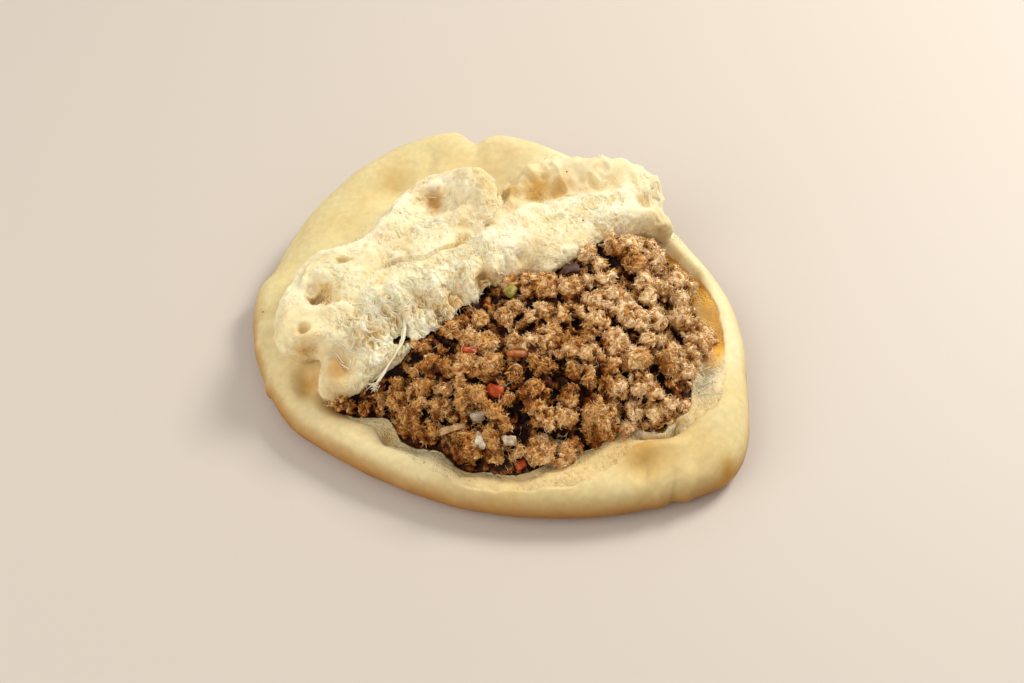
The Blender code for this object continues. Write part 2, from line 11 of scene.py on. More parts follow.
import bmesh
import bpy
import numpy as np
from mathutils import Euler, Matrix, Vector, noise
from mathutils.bvhtree import BVHTree
from mathutils.geometry import delaunay_2d_cdt
from mathutils.kdtree import KDTree


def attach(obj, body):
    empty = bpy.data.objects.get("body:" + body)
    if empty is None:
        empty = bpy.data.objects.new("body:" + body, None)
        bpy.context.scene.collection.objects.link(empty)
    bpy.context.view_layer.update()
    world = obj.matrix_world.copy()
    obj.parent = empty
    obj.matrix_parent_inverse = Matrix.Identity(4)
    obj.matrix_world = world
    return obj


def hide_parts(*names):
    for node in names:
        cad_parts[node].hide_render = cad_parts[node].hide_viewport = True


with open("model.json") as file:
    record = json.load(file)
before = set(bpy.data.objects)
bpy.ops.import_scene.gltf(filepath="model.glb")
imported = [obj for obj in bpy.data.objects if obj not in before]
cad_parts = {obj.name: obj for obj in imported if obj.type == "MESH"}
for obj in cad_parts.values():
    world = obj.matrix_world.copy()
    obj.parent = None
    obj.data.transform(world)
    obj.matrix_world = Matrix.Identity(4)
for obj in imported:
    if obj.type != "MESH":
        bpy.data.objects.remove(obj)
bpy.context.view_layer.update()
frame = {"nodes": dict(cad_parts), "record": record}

MM = 0.001
SHIFT = Vector((0.0002, -0.0034, 0.0))


def in_metres(rows, but=()):
    """Rows of millimetres in metres. The columns in but, such as bearings and counts, stay as they are."""
    return tuple(
        tuple(value if column in but else round(value * MM, 6) for column, value in enumerate(row))
        for row in rows
    )


# Values shared with the solids
BASE_OUTLINE = in_metres((
    (-86.2, 0), (-83.9, -11.5), (-80.5, -21), (-75.8, -31), (-68.5, -41.6), (-56.4, -51), (-39.1, -61.3),
    (-18.7, -70.5), (3, -75.6), (24.4, -76.6), (44, -74.6), (60, -70.2), (73, -65.2), (80.5, -57.5),
    (84, -47), (85.4, -32), (86.2, -12), (84, 7), (77.5, 22.5), (69, 38), (57, 56), (40, 69.8), (19.8, 78.2),
    (2, 81.2), (-8.5, 79.8), (-18.5, 84), (-38.2, 79.2), (-53.7, 70.4), (-66.8, 56), (-76, 40.2),
    (-81.8, 23.8), (-85.8, 16.8), (-86.6, 8),
))
BASE_MIDDLE = (0.0, 0.0)
WAIST_HEIGHT = 0.0060
FOOT_INSET = 0.0070
CRUST_WAVES = (0.0160, 0.0010, 3.0)
LID_LEFT_WAVES = (0.0085, 0.0016, 11.0)
LID_RIGHT_WAVES = (0.0085, 0.0016, 23.0)
CORE_WAVES = (0.0120, 0.0010, 31.0)
RIM_ROUNDING = 0.0095
RIM_HEIGHT = 0.0135
RIM_SWELLS = in_metres(((-25, 4, 45), (25, 3, 30)), but=(0, 2))
RIM_INNER_DROP = 0.0035
WELL_DROP = 0.0070
WELL_SLOPE = 0.0060
CRUST_ROUNDING = 0.0140
CRUST_CREST = 0.0150
CRUST_SWELLS = in_metres(((96, 18, 48),), but=(0, 2))
CRUST_MIDDLE_HEIGHT = 0.0270
CRUST_CREST_INSET = 0.0100
CRUST_MIDDLE_INSET = 0.0420
FOLD_POINT = (0.0, 0.0035)
FOLD_BEARING = math.radians(34.0)
FOLD_BLEND = 0.0050
WALL = 0.0125
WALL_SWELLS = in_metres((
    (-45, 16.5, 14), (-22, 6.5, 9), (-66, 7.5, 13), (-99, -2.5, 4), (-109, 4, 6), (-131, 7, 8), (-162, 9, 14),
    (2, 2, 4), (15, -2.5, 6), (28, -2, 8), (120, 8.5, 70), (-149, -3.2, 7),
), but=(0, 2))
BOTTOM_CRUST = 0.0060
CORE_EDGE_LEVEL = BOTTOM_CRUST + 0.0030
CORE_CROWN = 0.0195
CORE_SHOULDER = (-0.0100, 0.0280)
CORE_ROUNDING = 0.0060
CRUST_RELIEF = in_metres((
    (-37, 50, 8.5, 6, 20, -4.5), (-25, 60, 8, 2.5, 80, -1.4), (-8.5, 72, 15, 3.5, 95, -3),
    (6, 53, 15, 6, 5, -5), (2, 69, 12, 6, 0, 1.6), (19, 75, 9, 5, -15, -1.8), (23, 66, 11, 4, 0, 2),
    (11, 67, 11, 4, -20, 1.4), (14, 60, 7.5, 4.5, -30, 3.6), (-62, 34, 16, 9, 55, 2.2),
    (-64, -29, 7.5, 4.5, 80, -5), (-78, -6, 12, 5, 85, -1.2), (54, -50, 7, 3.5, 20, -7),
    (50, -57, 10, 4, 15, 3), (70, -44, 11, 6, 15, 2.4), (48, -64.5, 8, 4.5, 10, -2),
    (64, -64, 6, 4, 10, -1.4), (-43, -47, 10, 5, -30, -1.5), (4, -68, 12, 4, 0, -1.2),
    (72, 12, 12, 3, 65, 1.2),
), but=(4,))
LID_LEFT_OUTLINE = in_metres((
    (-53, -37.5), (-43, -36), (-31, -29), (-19, -18), (-8, -7), (2, 3), (5, 14), (-1.5, 24), (-0.5, 35),
    (-1.2, 44.5), (-8, 51.5), (-18, 54), (-30, 49), (-37, 40), (-45, 27), (-55, 20), (-66, 18), (-71.5, 8),
    (-75.5, -6), (-74.5, -18), (-67, -24), (-59, -24), (-57, -31),
))
LID_LEFT_MIDDLE = (-0.0340, 0.0060)
LID_LEFT_TOP = 0.0330
LID_LEFT_SLOPE = 0.15
LID_LEFT_THICKNESS = 0.0130
LID_LEFT_RELIEF = in_metres((
    (-6, 41, 8, 10, 0, 3.8), (-2, 33, 10, 4, 75, 2.6), (-13, 37, 6, 5, 0, -3), (-23, 35, 8.5, 6, 20, -5.5),
    (-11, 47, 10, 3, 0, 1.8), (-10, 19, 12, 2.8, 48, -3.5), (-52, 6, 12, 8, 40, 2.6),
    (-60.2, -3.6, 5.6, 3.8, -15, -6.5), (-52, 11, 4, 2.5, 0, -2.6), (-70.5, -12, 3, 11, 5, 1.8),
    (-66, -19, 4, 3, 0, -2), (-36, -10, 18, 8, 40, 1.6), (-51, -31, 8, 8, 0, -8), (-33, -24, 11, 5, 40, -4.5),
    (-10, -6, 11, 5, 45, -3),
), but=(4,))
LID_RIGHT_OUTLINE = in_metres((
    (-12, -5), (-2, 2), (7, 4), (18, 6), (27, 13), (35, 19.5), (43, 25), (51, 28), (57, 31), (63.6, 34.5),
    (59.6, 40), (59.2, 48), (56.5, 55.5), (49, 59), (39, 60.6), (24, 62.8), (12, 60), (4, 50), (-6, 30),
    (-14, 12),
))
LID_RIGHT_MIDDLE = (0.0220, 0.0330)
LID_RIGHT_TOP = 0.0350
LID_RIGHT_SLOPE = 0.0
LID_RIGHT_THICKNESS = 0.0135
LID_RIGHT_RELIEF = in_metres((
    (7, 15, 14, 7, 35, 2.2), (37, 33, 14, 6, 32, 2), (12, 43, 10, 6.5, 0, -7), (30, 43, 15, 4.5, 8, -4),
    (34, 54.5, 16, 4.5, -8, 2.2), (51, 43, 3.5, 10, 10, -2.4), (45.5, 44, 2.5, 11, 8, 1.6),
    (62, 34.5, 7, 5.5, 20, -8), (55, 54, 7, 5, -40, -1), (20, 24, 12, 5, 30, -1.4), (14, 59, 11, 6, 15, -4.2),
    (5, 35, 9, 3.5, 80, -3),
), but=(4,))
TIE_PLACE = (-0.0530, -0.0298, 0.0165)
TIE_HALF_SIZE = (0.0060, 0.0078, 0.0080)
TIE_LEAN = (0.25, 0.0, -0.20)

# Values of the looks
BREAD_VOXEL = 0.50 * MM
BREAD_KEPT = 0.34
MINCE_VOXEL = 0.50 * MM
MINCE_KEPT = 0.31
POCKET_SWELL = 1.0 * MM
SEED = 41


# Noise, worked out on whole arrays of points
def scramble(x, y, z, salt):
    """A repeatable number from 0 to 1 for each whole-number cell."""
    mixed = (
        x.astype(np.uint32) * np.uint32(0x8DA6B343)
        ^ y.astype(np.uint32) * np.uint32(0xD8163841)
        ^ z.astype(np.uint32) * np.uint32(0xCB1AB31F)
        ^ np.uint32(salt * 7919 + 17)
    )
    mixed ^= mixed >> np.uint32(15)
    mixed *= np.uint32(0x2C1B3C6D)
    mixed ^= mixed >> np.uint32(12)
    mixed *= np.uint32(0x297A2D39)
    mixed ^= mixed >> np.uint32(15)
    return mixed.astype(np.float64) / 4294967296.0


def soft_noise(points, size, salt):
    """Smooth noise from -1 to 1 whose bumps are about size across."""
    scaled = points / size
    low = np.floor(scaled).astype(np.int64)
    part = scaled - low
    part = part * part * (3.0 - 2.0 * part)
    total = np.zeros(len(points))
    for dx in (0, 1):
        for dy in (0, 1):
            for dz in (0, 1):
                share = (
                    (part[:, 0] if dx else 1.0 - part[:, 0])
                    * (part[:, 1] if dy else 1.0 - part[:, 1])
                    * (part[:, 2] if dz else 1.0 - part[:, 2])
                )
                total += share * scramble(low[:, 0] + dx, low[:, 1] + dy, low[:, 2] + dz, salt)
    return 2.0 * total - 1.0


def layered_noise(points, size, salt, layers=3):
    total = np.zeros(len(points))
    strength, whole = 1.0, 0.0
    for layer in range(layers):
        total += strength * soft_noise(points, size / 2.0**layer, salt + layer)
        whole += strength
        strength *= 0.5
    return total / whole


def foam(points, size, salt):
    """Cells of foam: the wall's nearness (0 on a wall, 1 deep in a cell) and a random number per cell."""
    scaled = points / size
    low = np.floor(scaled).astype(np.int64)
    first = np.full(len(points), 9.0)
    second = np.full(len(points), 9.0)
    own = np.zeros(len(points))
    for dx in (-1, 0, 1):
        for dy in (-1, 0, 1):
            for dz in (-1, 0, 1):
                x, y, z = low[:, 0] + dx, low[:, 1] + dy, low[:, 2] + dz
                away_x = x + scramble(x, y, z, salt) - scaled[:, 0]
                away_y = y + scramble(x, y, z, salt + 1) - scaled[:, 1]
                away_z = z + scramble(x, y, z, salt + 2) - scaled[:, 2]
                away = np.sqrt(away_x**2 + away_y**2 + away_z**2)
                nearer = away < first
                second = np.where(nearer, first, np.minimum(second, away))
                own = np.where(nearer, scramble(x, y, z, salt + 3), own)
                first = np.where(nearer, away, first)
    return second - first, own


def drift(points, size, salts, layers=1):
    """Noise for each of the three axes, to shift points by."""
    return np.stack([layered_noise(points, size, salt, layers) for salt in salts], axis=1)


def smooth_step(low, high, value):
    share = np.clip((value - low) / (high - low), 0.0, 1.0)
    return share * share * (3.0 - 2.0 * share)


def bump(x, y, middle_x, middle_y, half_length, half_width):
    """1 at a place in plan, fading to 0 round it."""
    return np.exp(-(((x - middle_x) / half_length) ** 2) - ((y - middle_y) / half_width) ** 2)


def turned(x, y, turn):
    """Distances along a direction in plan and across it."""
    return x * math.cos(turn) + y * math.sin(turn), y * math.cos(turn) - x * math.sin(turn)


# The solids' form at a finer grid
def between(before, start, stop, after, t):
    """Points of a smooth curve from start to stop (Catmull-Rom)."""
    return 0.5 * (
        2.0 * start
        + (stop - before) * t
        + (2.0 * before - 5.0 * start + 4.0 * stop - after) * t**2
        + (3.0 * start - before - 3.0 * stop + after) * t**3
    )


def closed_curve(points, count):
    """Points spread along a smooth closed curve through the given ones."""
    points = np.array(points)
    ends = len(points)
    at = np.arange(count) / count * ends
    first = at.astype(int) % ends
    t = (at - at.astype(int))[:, None]
    return between(*(points[(first + step) % ends] for step in (-1, 0, 1, 2)), t)


def open_curve(points, count):
    """Points spread along a smooth open curve through the given ones."""
    at = np.linspace(0.0, len(points) - 1.0, count)
    padded = np.vstack([2.0 * points[0] - points[1], points, 2.0 * points[-1] - points[-2]])
    first = np.minimum(at.astype(int), len(points) - 2)
    return between(*(padded[first + step] for step in range(4)), (at - first)[:, None])


def swells(bearing, base, bumps):
    """A value round the border with swells: (bearing, height, spread in degrees)."""
    value = np.full_like(bearing, base)
    for centre, height, spread in bumps:
        away = (bearing - centre + 180.0) % 360.0 - 180.0
        value += height * np.exp(-((away / spread) ** 2))
    return value


def relief(x, y, features):
    """Soft lumps and hollows: (x, y, half length, half width, bearing, height)."""
    total = np.zeros_like(x)
    for fx, fy, half_length, half_width, bearing, height in features:
        along, across = turned(x - fx, y - fy, math.radians(bearing))
        total += height * bump(along, across, 0.0, 0.0, half_length, half_width)
    return total


def waviness(x, y, waves):
    """Long soft waves: (wavelength, height, layer of the noise)."""
    wavelength, height, layer = waves
    values = [noise.noise(Vector((a / wavelength, b / wavelength, layer))) for a, b in zip(x, y)]
    return height * np.array(values)


def bearing_of(x, y):
    return np.degrees(np.arctan2(y, x))


def fold_frame(x, y):
    """Distances along the fold and across it, towards the closed side."""
    return turned(x - FOLD_POINT[0], y - FOLD_POINT[1], FOLD_BEARING)


def closed_side(x, y):
    return smooth_step(-FOLD_BLEND, FOLD_BLEND, fold_frame(x, y)[1] - FOLD_BLEND)


def rounded_edge(inset, width):
    return np.sqrt(1.0 - (1.0 - np.clip(inset / width, 0.0, 1.0)) ** 2)


def cushion(outline, middle, top, bottom, edge, segments, rings):
    """A closed soft body from a sphere: the equator goes to the outline, the halves to the top and bottom."""
    build = bmesh.new()
    bmesh.ops.create_uvsphere(build, u_segments=segments, v_segments=2 * rings, radius=1.0)
    sphere = np.array([vertex.co for vertex in build.verts])
    border = closed_curve(outline, segments)
    turn = np.arctan2(sphere[:, 1], sphere[:, 0]) / (2.0 * math.pi)
    column = np.round(turn * segments).astype(int) % segments
    share = np.hypot(sphere[:, 0], sphere[:, 1])[:, None]
    plan = np.array(middle) + share * (border[column] - np.array(middle))
    reach = np.linalg.norm(border[column] - np.array(middle), axis=1)
    inset = (1.0 - share[:, 0]) * reach
    upper = top(plan[:, 0], plan[:, 1], inset)
    lower = bottom(plan[:, 0], plan[:, 1], inset)
    height = edge(upper, lower, inset, sphere[:, 2] >= 0.0)
    for vertex, (x, y), z in zip(build.verts, plan, height):
        vertex.co = (x, y, z)
    bmesh.ops.triangulate(build, faces=build.faces)
    return build


def base_top(x, y, inset):
    bearing = bearing_of(x, y)
    rim = swells(bearing, RIM_HEIGHT, RIM_SWELLS)
    wall = swells(bearing, WALL, WALL_SWELLS)
    inner_drop = RIM_INNER_DROP * smooth_step(0.5 * wall, wall, inset)
    well_drop = WELL_DROP * smooth_step(wall, wall + WELL_SLOPE, inset)
    open_height = rim - inner_drop - well_drop
    crest = swells(bearing, CRUST_CREST, CRUST_SWELLS)
    inward = smooth_step(CRUST_CREST_INSET, CRUST_MIDDLE_INSET, inset)
    closed_height = crest + (CRUST_MIDDLE_HEIGHT - crest) * inward
    closed = closed_side(x, y)
    height = open_height + (closed_height - open_height) * closed
    rounding = RIM_ROUNDING + (CRUST_ROUNDING - RIM_ROUNDING) * closed
    detail = relief(x, y, CRUST_RELIEF) + waviness(x, y, CRUST_WAVES)
    full_height = height + detail * rounded_edge(inset, rounding)
    return WAIST_HEIGHT + (full_height - WAIST_HEIGHT) * rounded_edge(inset, rounding)


def base_bottom(x, y, inset):
    return np.zeros_like(x)


def base_edge(upper, lower, inset, is_top):
    under = WAIST_HEIGHT + (lower - WAIST_HEIGHT) * rounded_edge(inset, FOOT_INSET)
    return np.where(is_top, upper, under)


def lid_part(outline, middle, height, slope, thickness, features, waves, segments, rings):
    def top(x, y, inset):
        return height + slope * (x - middle[0]) + relief(x, y, features) + waviness(x, y, waves)

    def bottom(x, y, inset):
        return top(x, y, inset) - thickness

    def edge(upper, lower, inset, is_top):
        middle_height = 0.5 * (upper + lower)
        target = np.where(is_top, upper, lower)
        return middle_height + (target - middle_height) * rounded_edge(inset, 0.5 * thickness)

    return cushion(outline, middle, top, bottom, edge, segments, rings)


def core_outline(inset):
    border = closed_curve(BASE_OUTLINE, 120)
    reach = np.linalg.norm(border, axis=1)
    wall = swells(bearing_of(border[:, 0], border[:, 1]), WALL, WALL_SWELLS)
    return border * ((reach - wall + inset) / reach)[:, None]


def core_height(x, y, inset):
    crown = CORE_CROWN * smooth_step(*CORE_SHOULDER, inset)
    return CORE_EDGE_LEVEL + crown + waviness(x, y, CORE_WAVES)


def core_body(swell, segments, rings, sink=0.0):
    def top(x, y, inset):
        return core_height(x, y, inset) + swell - sink

    def bottom(x, y, inset):
        return np.full_like(x, BOTTOM_CRUST - min(swell, 0.0))

    def edge(upper, lower, inset, is_top):
        middle_height = np.full_like(upper, CORE_EDGE_LEVEL)
        target = np.where(is_top, np.maximum(upper, middle_height), lower)
        return middle_height + (target - middle_height) * rounded_edge(inset, CORE_ROUNDING)

    return cushion(core_outline(swell), BASE_MIDDLE, top, bottom, edge, segments, rings)


# Mesh helpers
def object_from(name, build):
    mesh = bpy.data.meshes.new(name)
    build.to_mesh(mesh)
    build.free()
    obj = bpy.data.objects.new(name, mesh)
    bpy.context.scene.collection.objects.link(obj)
    return obj


def mesh_from_arrays(name, points, triangles):
    mesh = bpy.data.meshes.new(name)
    mesh.vertices.add(len(points))
    mesh.vertices.foreach_set("co", np.ascontiguousarray(points, np.float32).ravel())
    mesh.loops.add(3 * len(triangles))
    mesh.loops.foreach_set("vertex_index", np.ascontiguousarray(triangles, np.int32).ravel())
    mesh.polygons.add(len(triangles))
    mesh.polygons.foreach_set("loop_start", np.arange(0, 3 * len(triangles), 3, dtype=np.int32))
    mesh.update(calc_edges=True)
    mesh.validate()
    mesh.shade_smooth()
    obj = bpy.data.objects.new(name, mesh)
    bpy.context.scene.collection.objects.link(obj)
    return obj


def points_of(mesh):
    points = np.zeros(3 * len(mesh.vertices), np.float32)
    mesh.vertices.foreach_get("co", points)
    return points.reshape(-1, 3).astype(np.float64)


def normals_of(mesh):
    normals = np.zeros(3 * len(mesh.vertices), np.float32)
    mesh.vertex_normals.foreach_get("vector", normals)
    return normals.reshape(-1, 3).astype(np.float64)


def set_points(mesh, points):
    mesh.vertices.foreach_set("co", points.astype(np.float32).ravel())
    mesh.update()


def paint(mesh, name, colours):
    """Stores a colour (linear) for each vertex, which the material reads."""
    layer = mesh.color_attributes.new(name, "FLOAT_COLOR", "POINT")
    full = np.ones((len(colours), 4), np.float32)
    full[:, :3] = colours
    layer.data.foreach_set("color", full.ravel())


def join(objects):
    """One mesh that holds several objects' shells."""
    build = bmesh.new()
    for obj in objects:
        build.from_mesh(obj.data)
        bpy.data.objects.remove(obj)
    return build


def with_modifier(obj, kind, **settings):
    """The object's mesh as one modifier leaves it."""
    modifier = obj.modifiers.new("change", kind)
    for name, value in settings.items():
        setattr(modifier, name, value)
    graph = bpy.context.evaluated_depsgraph_get()
    mesh = bpy.data.meshes.new_from_object(obj.evaluated_get(graph))
    obj.modifiers.remove(modifier)
    obj.data = mesh


def surface_of(obj):
    """The object's surface, to cast rays on and to find nearest places on."""
    bpy.context.view_layer.update()
    return BVHTree.FromObject(obj, bpy.context.evaluated_depsgraph_get())


def edges_of(mesh):
    edges = np.zeros(2 * len(mesh.edges), np.int32)
    mesh.edges.foreach_get("vertices", edges)
    return edges.reshape(-1, 2)


def relaxed(points, edges, share, rounds, keeps_size=False):
    """Evens out the points by their neighbours, each by its share. keeps_size undoes every second step."""
    count = np.bincount(edges.ravel(), minlength=len(points))[:, None]
    for step in range(2 * rounds if keeps_size else rounds):
        total = np.zeros_like(points)
        for axis in range(3):
            total[:, axis] = np.bincount(edges[:, 0], points[edges[:, 1], axis], len(points))
            total[:, axis] += np.bincount(edges[:, 1], points[edges[:, 0], axis], len(points))
        pull = -0.51 if keeps_size and step % 2 else 0.5
        points = points + pull * share[:, None] * (total / count - points)
    return points


def distances_to(tree, points):
    return np.array([tree.find_nearest(Vector(point))[3] for point in points])


# Colours
def linear(code):
    """An sRGB hex colour as linear numbers."""
    values = [int(code[index : index + 2], 16) / 255.0 for index in (1, 3, 5)]
    return np.array([v / 12.92 if v <= 0.04045 else ((v + 0.055) / 1.055) ** 2.4 for v in values])


def mixed(first, second, share):
    """Blends two colours, or two arrays of them, by a share for each point."""
    return first + (second - first) * np.asarray(share)[:, None]


# Bread
BASE_GRID = (260, 46)
LID_LEFT_GRID = (150, 30)
LID_RIGHT_GRID = (130, 26)
POCKET_GRID = (180, 40)

CRUST_PALE = linear("#E6D9A7")
CRUST_TAN = linear("#D2AE68")
CRUST_FOOT_SHADE = linear("#9C6224")
CRUST_GOLD = linear("#C69236")
RIM_GLOW = linear("#F2B43C")
CRUMB_PALE = linear("#FFFAE8")
CRUMB_CREAM = linear("#F3E5B8")
CRUMB_IN_SHADE = linear("#EAD6A3")
CRUMB_PIT_SHADE = linear("#E4C27A")
HOLLOW_BROWN = linear("#B07C38")

# How far in from the border the smooth crust gives way to crumb: (bearing, metres).
CRUMB_BORDER = in_metres((
    (-180, 13), (-141, 12.9), (-131, 13.3), (-124, 8.6), (-118, 7.1), (-112, 6.7), (-105, 5.2), (-98, 3.6),
    (-89, 4.3), (-79, 5.2), (-71, 6), (-66, 8.2), (-61, 11.5), (-55, 15.5), (-51, 18.5), (-46, 21.5),
    (-40, 23.5), (-36, 19), (-30, 12.5), (-20, 9.5), (0, 8.5), (20, 10.5), (40, 12.5), (180, 13),
), but=(0,))

# Lumps and hollows of the torn dough: (x, y, half length, half width, bearing, height).
TORN_RELIEF = in_metres((
    (-60, 10, 8, 5.5, 20, 1.8), (-52.4, 9.7, 2.6, 1.8, 0, -2.6), (-56, 15, 4, 0.9, 40, 1.2),
    (-65, 4, 5, 1, 75, 1.2), (-64, -17.5, 2.2, 1.8, 0, -2.2), (-57.8, -5, 3.4, 0.7, 55, 2.2),
    (-62.5, -1, 3, 0.7, 20, 1.6), (-43, 2, 6, 2.2, 60, -1.2), (-25, -10, 5.2, 2.2, -56, -3),
    (-13.7, -7.5, 5, 2.6, -60, -3.6), (-3.5, -1, 4.6, 2.8, -60, -3.6), (-18.5, -15, 3.4, 2.2, -56, -2.6),
    (-30.5, -4, 4, 1.6, -56, -1.4), (-40.7, -20, 4, 1.8, -56, -1.6), (-47, -24, 3.2, 1.8, -56, -1.6),
    (-32.5, -19, 4, 1.6, -56, -1.4), (-19.8, -6, 8.5, 1.3, -72, 2.4), (-8.8, -2, 7.8, 1.4, -72, 2.5),
    (-30, -14, 8, 1.1, -66, 1.8), (-36.5, -12, 7, 1, -60, 1.3), (-20, 42, 3, 0.9, 60, 1.2),
    (-24, 36, 3, 0.9, 20, 1), (-11, 40, 6, 1.2, 80, 0.7), (-16, 43, 6, 1, 75, -0.6),
    (15, 13, 4.6, 3.6, 30, 2.2), (11, 19, 3, 2.4, 0, 1.2), (3.5, 10, 3.4, 2.6, 40, 1.4),
    (-1, 3.5, 3, 2.2, 60, 1), (9, 8, 2.6, 2, 0, -1.4), (12, 5, 3.5, 1.8, 20, -1.2), (51, 44, 1.4, 8, 8, 1),
    (55.5, 43, 1.2, 8, 12, -1.4), (59, 43, 1.2, 8, 15, 1), (52.7, 37.5, 2.2, 3.4, 10, -1.8),
    (21.3, 55.7, 2.8, 1.2, 60, 1.1), (13.2, 53, 5.2, 1.5, 110, 1.4), (34, 52, 6, 1.4, 40, 1.2),
    (42, 48, 6, 1.2, 60, 1), (40, 42, 5, 1.4, 20, -1), (9.5, 62.3, 2.6, 1.2, 60, 1),
    (18, 50, 8, 1.6, 10, -0.8),
), but=(4,))

# Torn bubbles: (x, y, radius of the raised ring, its height).
RINGS = in_metres((
    (-52.8, 9.8, 3.6, 1.3), (-64, -17.5, 3, 0.9), (-60.2, -3.6, 6.8, 0.8), (-18.5, -15.2, 2.8, 0.8),
    (-13.5, -8, 3.2, 1), (-3.5, -1, 3.4, 1), (46, -51, 2.6, 0.6), (70, -27.5, 4.8, 0.8),
))

# Lumps and hollows of the open rim.
RIM_RELIEF = in_metres((
    (71.9, 3.6, 3, 3.5, 0, 1), (72.5, -7.5, 3, 4, 0, 1.2), (73.4, -18.7, 3, 3.8, 0, 1),
    (74.1, -32, 3.5, 4, 0, 1), (70, -13, 2.2, 1.8, 0, -1), (70, -26, 3, 4, 0, -1.4),
    (55.4, -48, 5.5, 2.6, 12, -3.2), (50, -47.5, 2.5, 1.8, 30, -2), (49, -53.5, 10, 1.8, 14, 1.2),
    (47.7, -67.5, 1.4, 5, -5, -0.8), (52.5, -69, 1.4, 4.5, -5, 0.7), (57.5, -69, 1.4, 5, -8, -1),
    (62.4, -67.5, 1.5, 4.5, -10, 0.8), (-34.6, -50.5, 3, 2.4, 20, -2.2), (-77, -26.4, 3, 2, 40, 1),
    (-81.2, -8.9, 3, 2, 70, 1),
), but=(4,))

# Torn edges that stand proud: points in plan, height of the raised edge, drop beside it, width.
# The raised side lies to the left of the line's direction.
LEDGES = (
    (in_metres((
        (-1, 50), (1.5, 44), (1.6, 38.5), (0.8, 33), (-1.8, 26.5), (-6, 21.8), (-11, 18.8),
    )), -0.0012, -0.0028, 0.0024),
    (in_metres((
        (-11, 18.8), (-17.6, 13.5), (-24.3, 9), (-33, 9.5), (-43, 5),
    )), -0.0006, -0.0012, 0.0018),
)

# Gold as painted shade in many of these: the bubbles' pits, the valley behind the fold, the right rim's inner
# wall.
# Where the dough is more golden: (x, y, radius, strength). On the front lip it is the crust's own gold.
GOLD_AND_SHADE_PATCHES = in_metres((
    (48.1, -59.9, 7.5, 0.95), (56, -60, 7, 0.5), (66.1, -54.9, 8, 0.35), (75.5, -62.9, 3.5, 1),
    (62.3, 24, 5.5, 0.85), (66.9, 14, 5, 0.95), (69, 6, 4, 0.8), (70.4, -14, 3, 0.7), (57.5, 32, 5, 0.3),
    (-62.9, -26, 6, 0.75), (-54, -37, 4.5, 0.5), (-37.6, 55.1, 5, 0.45), (-22.1, 39, 4, 0.7),
    (4.7, 46.1, 5, 0.95), (13.7, 46.5, 6, 1), (22.6, 44, 5.5, 0.9), (6, 39, 4, 0.6), (32, 43, 5, 0.4),
    (52.5, 38.5, 3.5, 0.5), (-10, 33, 11, 0.34), (-37, 20, 8, 0.22), (15, 14, 7, 0.34), (54, -48, 4.5, 0.6),
    (-52.4, -32.2, 6, 0.42), (-11.7, 49, 6, 0.3), (-31.4, 12.8, 7, 0.18), (-60, -4, 4, 0.9),
    (-52.4, 9.7, 2.2, 0.6), (-64, -17.8, 2.2, 0.6), (-25, -10, 3.5, 0.7), (-13.7, -8, 3.4, 0.95),
    (-3.7, -1, 3.6, 0.95), (-18.5, -15.5, 2.8, 0.8), (-40.7, -20.5, 3, 0.6), (-32.5, -18.5, 2.8, 0.6),
    (-11, 18, 3, 0.5), (10, 6.5, 3.5, 0.5), (55.4, -48, 3, 0.25), (-34.6, -49, 3, 0.5), (21, 17, 4, 0.25),
), but=(3,))

# Brown spots: (x, y, half length, half width, strength). In the tongue's hollow the brown is painted shade;
# in the lid's round hole and on the front lip it is a brown of their own.
BROWN_AND_SHADE_SPOTS = in_metres(((-22.1, 39, 2.8, 3.5, 1), (-60, -4, 2.8, 2, 1), (75.5, -63.5, 2, 2, 0.8)), but=(4,))

# Smooth lobes at the fold's left end, a cave and a basin in the rim: (x, y, half length, half width).
END_LOBE, SWIRL, FLAP, CAVE, BASIN = in_metres((
    (-65.5, -15, 9, 7), (-59, 11, 8, 5), (-52, -30, 6, 8), (56, -46.5, 9, 4.5), (70, -28, 6, 9),
))

# Where the fold's back edge runs into the crust, and the valley beside it: (x, y, radius).
BLENDED_SPOTS = in_metres((
    (8, 60, 9), (16, 65, 10), (28, 67, 10), (40, 64, 9), (54, 57, 8), (-52, 23, 5), (-66, 20, 5),
    (-40, 37, 4),
))
VALLEY_SPOTS = in_metres(((5, 47, 5), (6.5, 53, 6.5), (10, 59, 7), (16, 61, 6)))

# The torn net: extent along the fold and across it, its cells' size, their gap in cells, the floors' drop.
WEB_ALONG = (-0.0600, -0.0030)
WEB_ACROSS = (-0.0110, 0.0180)
WEB_CELL = 0.0024
WEB_STRETCH = 1.7
WEB_APART = 0.62
WEB_DEPTH = 0.0012
WEB_TRIES = 2600
LONGEST_WEB_LINE = 0.008
SPOTS_PER_LINE = 40


def from_fold_frame(along, across):
    x = FOLD_POINT[0] + along * math.cos(FOLD_BEARING) - across * math.sin(FOLD_BEARING)
    y = FOLD_POINT[1] + along * math.sin(FOLD_BEARING) + across * math.cos(FOLD_BEARING)
    return x, y


def web_share(x, y):
    """1 where the crumb is pulled into a net, fading to 0 round it."""
    along, across = fold_frame(x, y)
    share = smooth_step(WEB_ALONG[0], WEB_ALONG[0] + 0.008, along)
    share *= smooth_step(WEB_ALONG[1], WEB_ALONG[1] - 0.010, along)
    share *= smooth_step(WEB_ACROSS[0], WEB_ACROSS[0] + 0.003, across)
    return share * smooth_step(WEB_ACROSS[1], WEB_ACROSS[1] - 0.009, across)


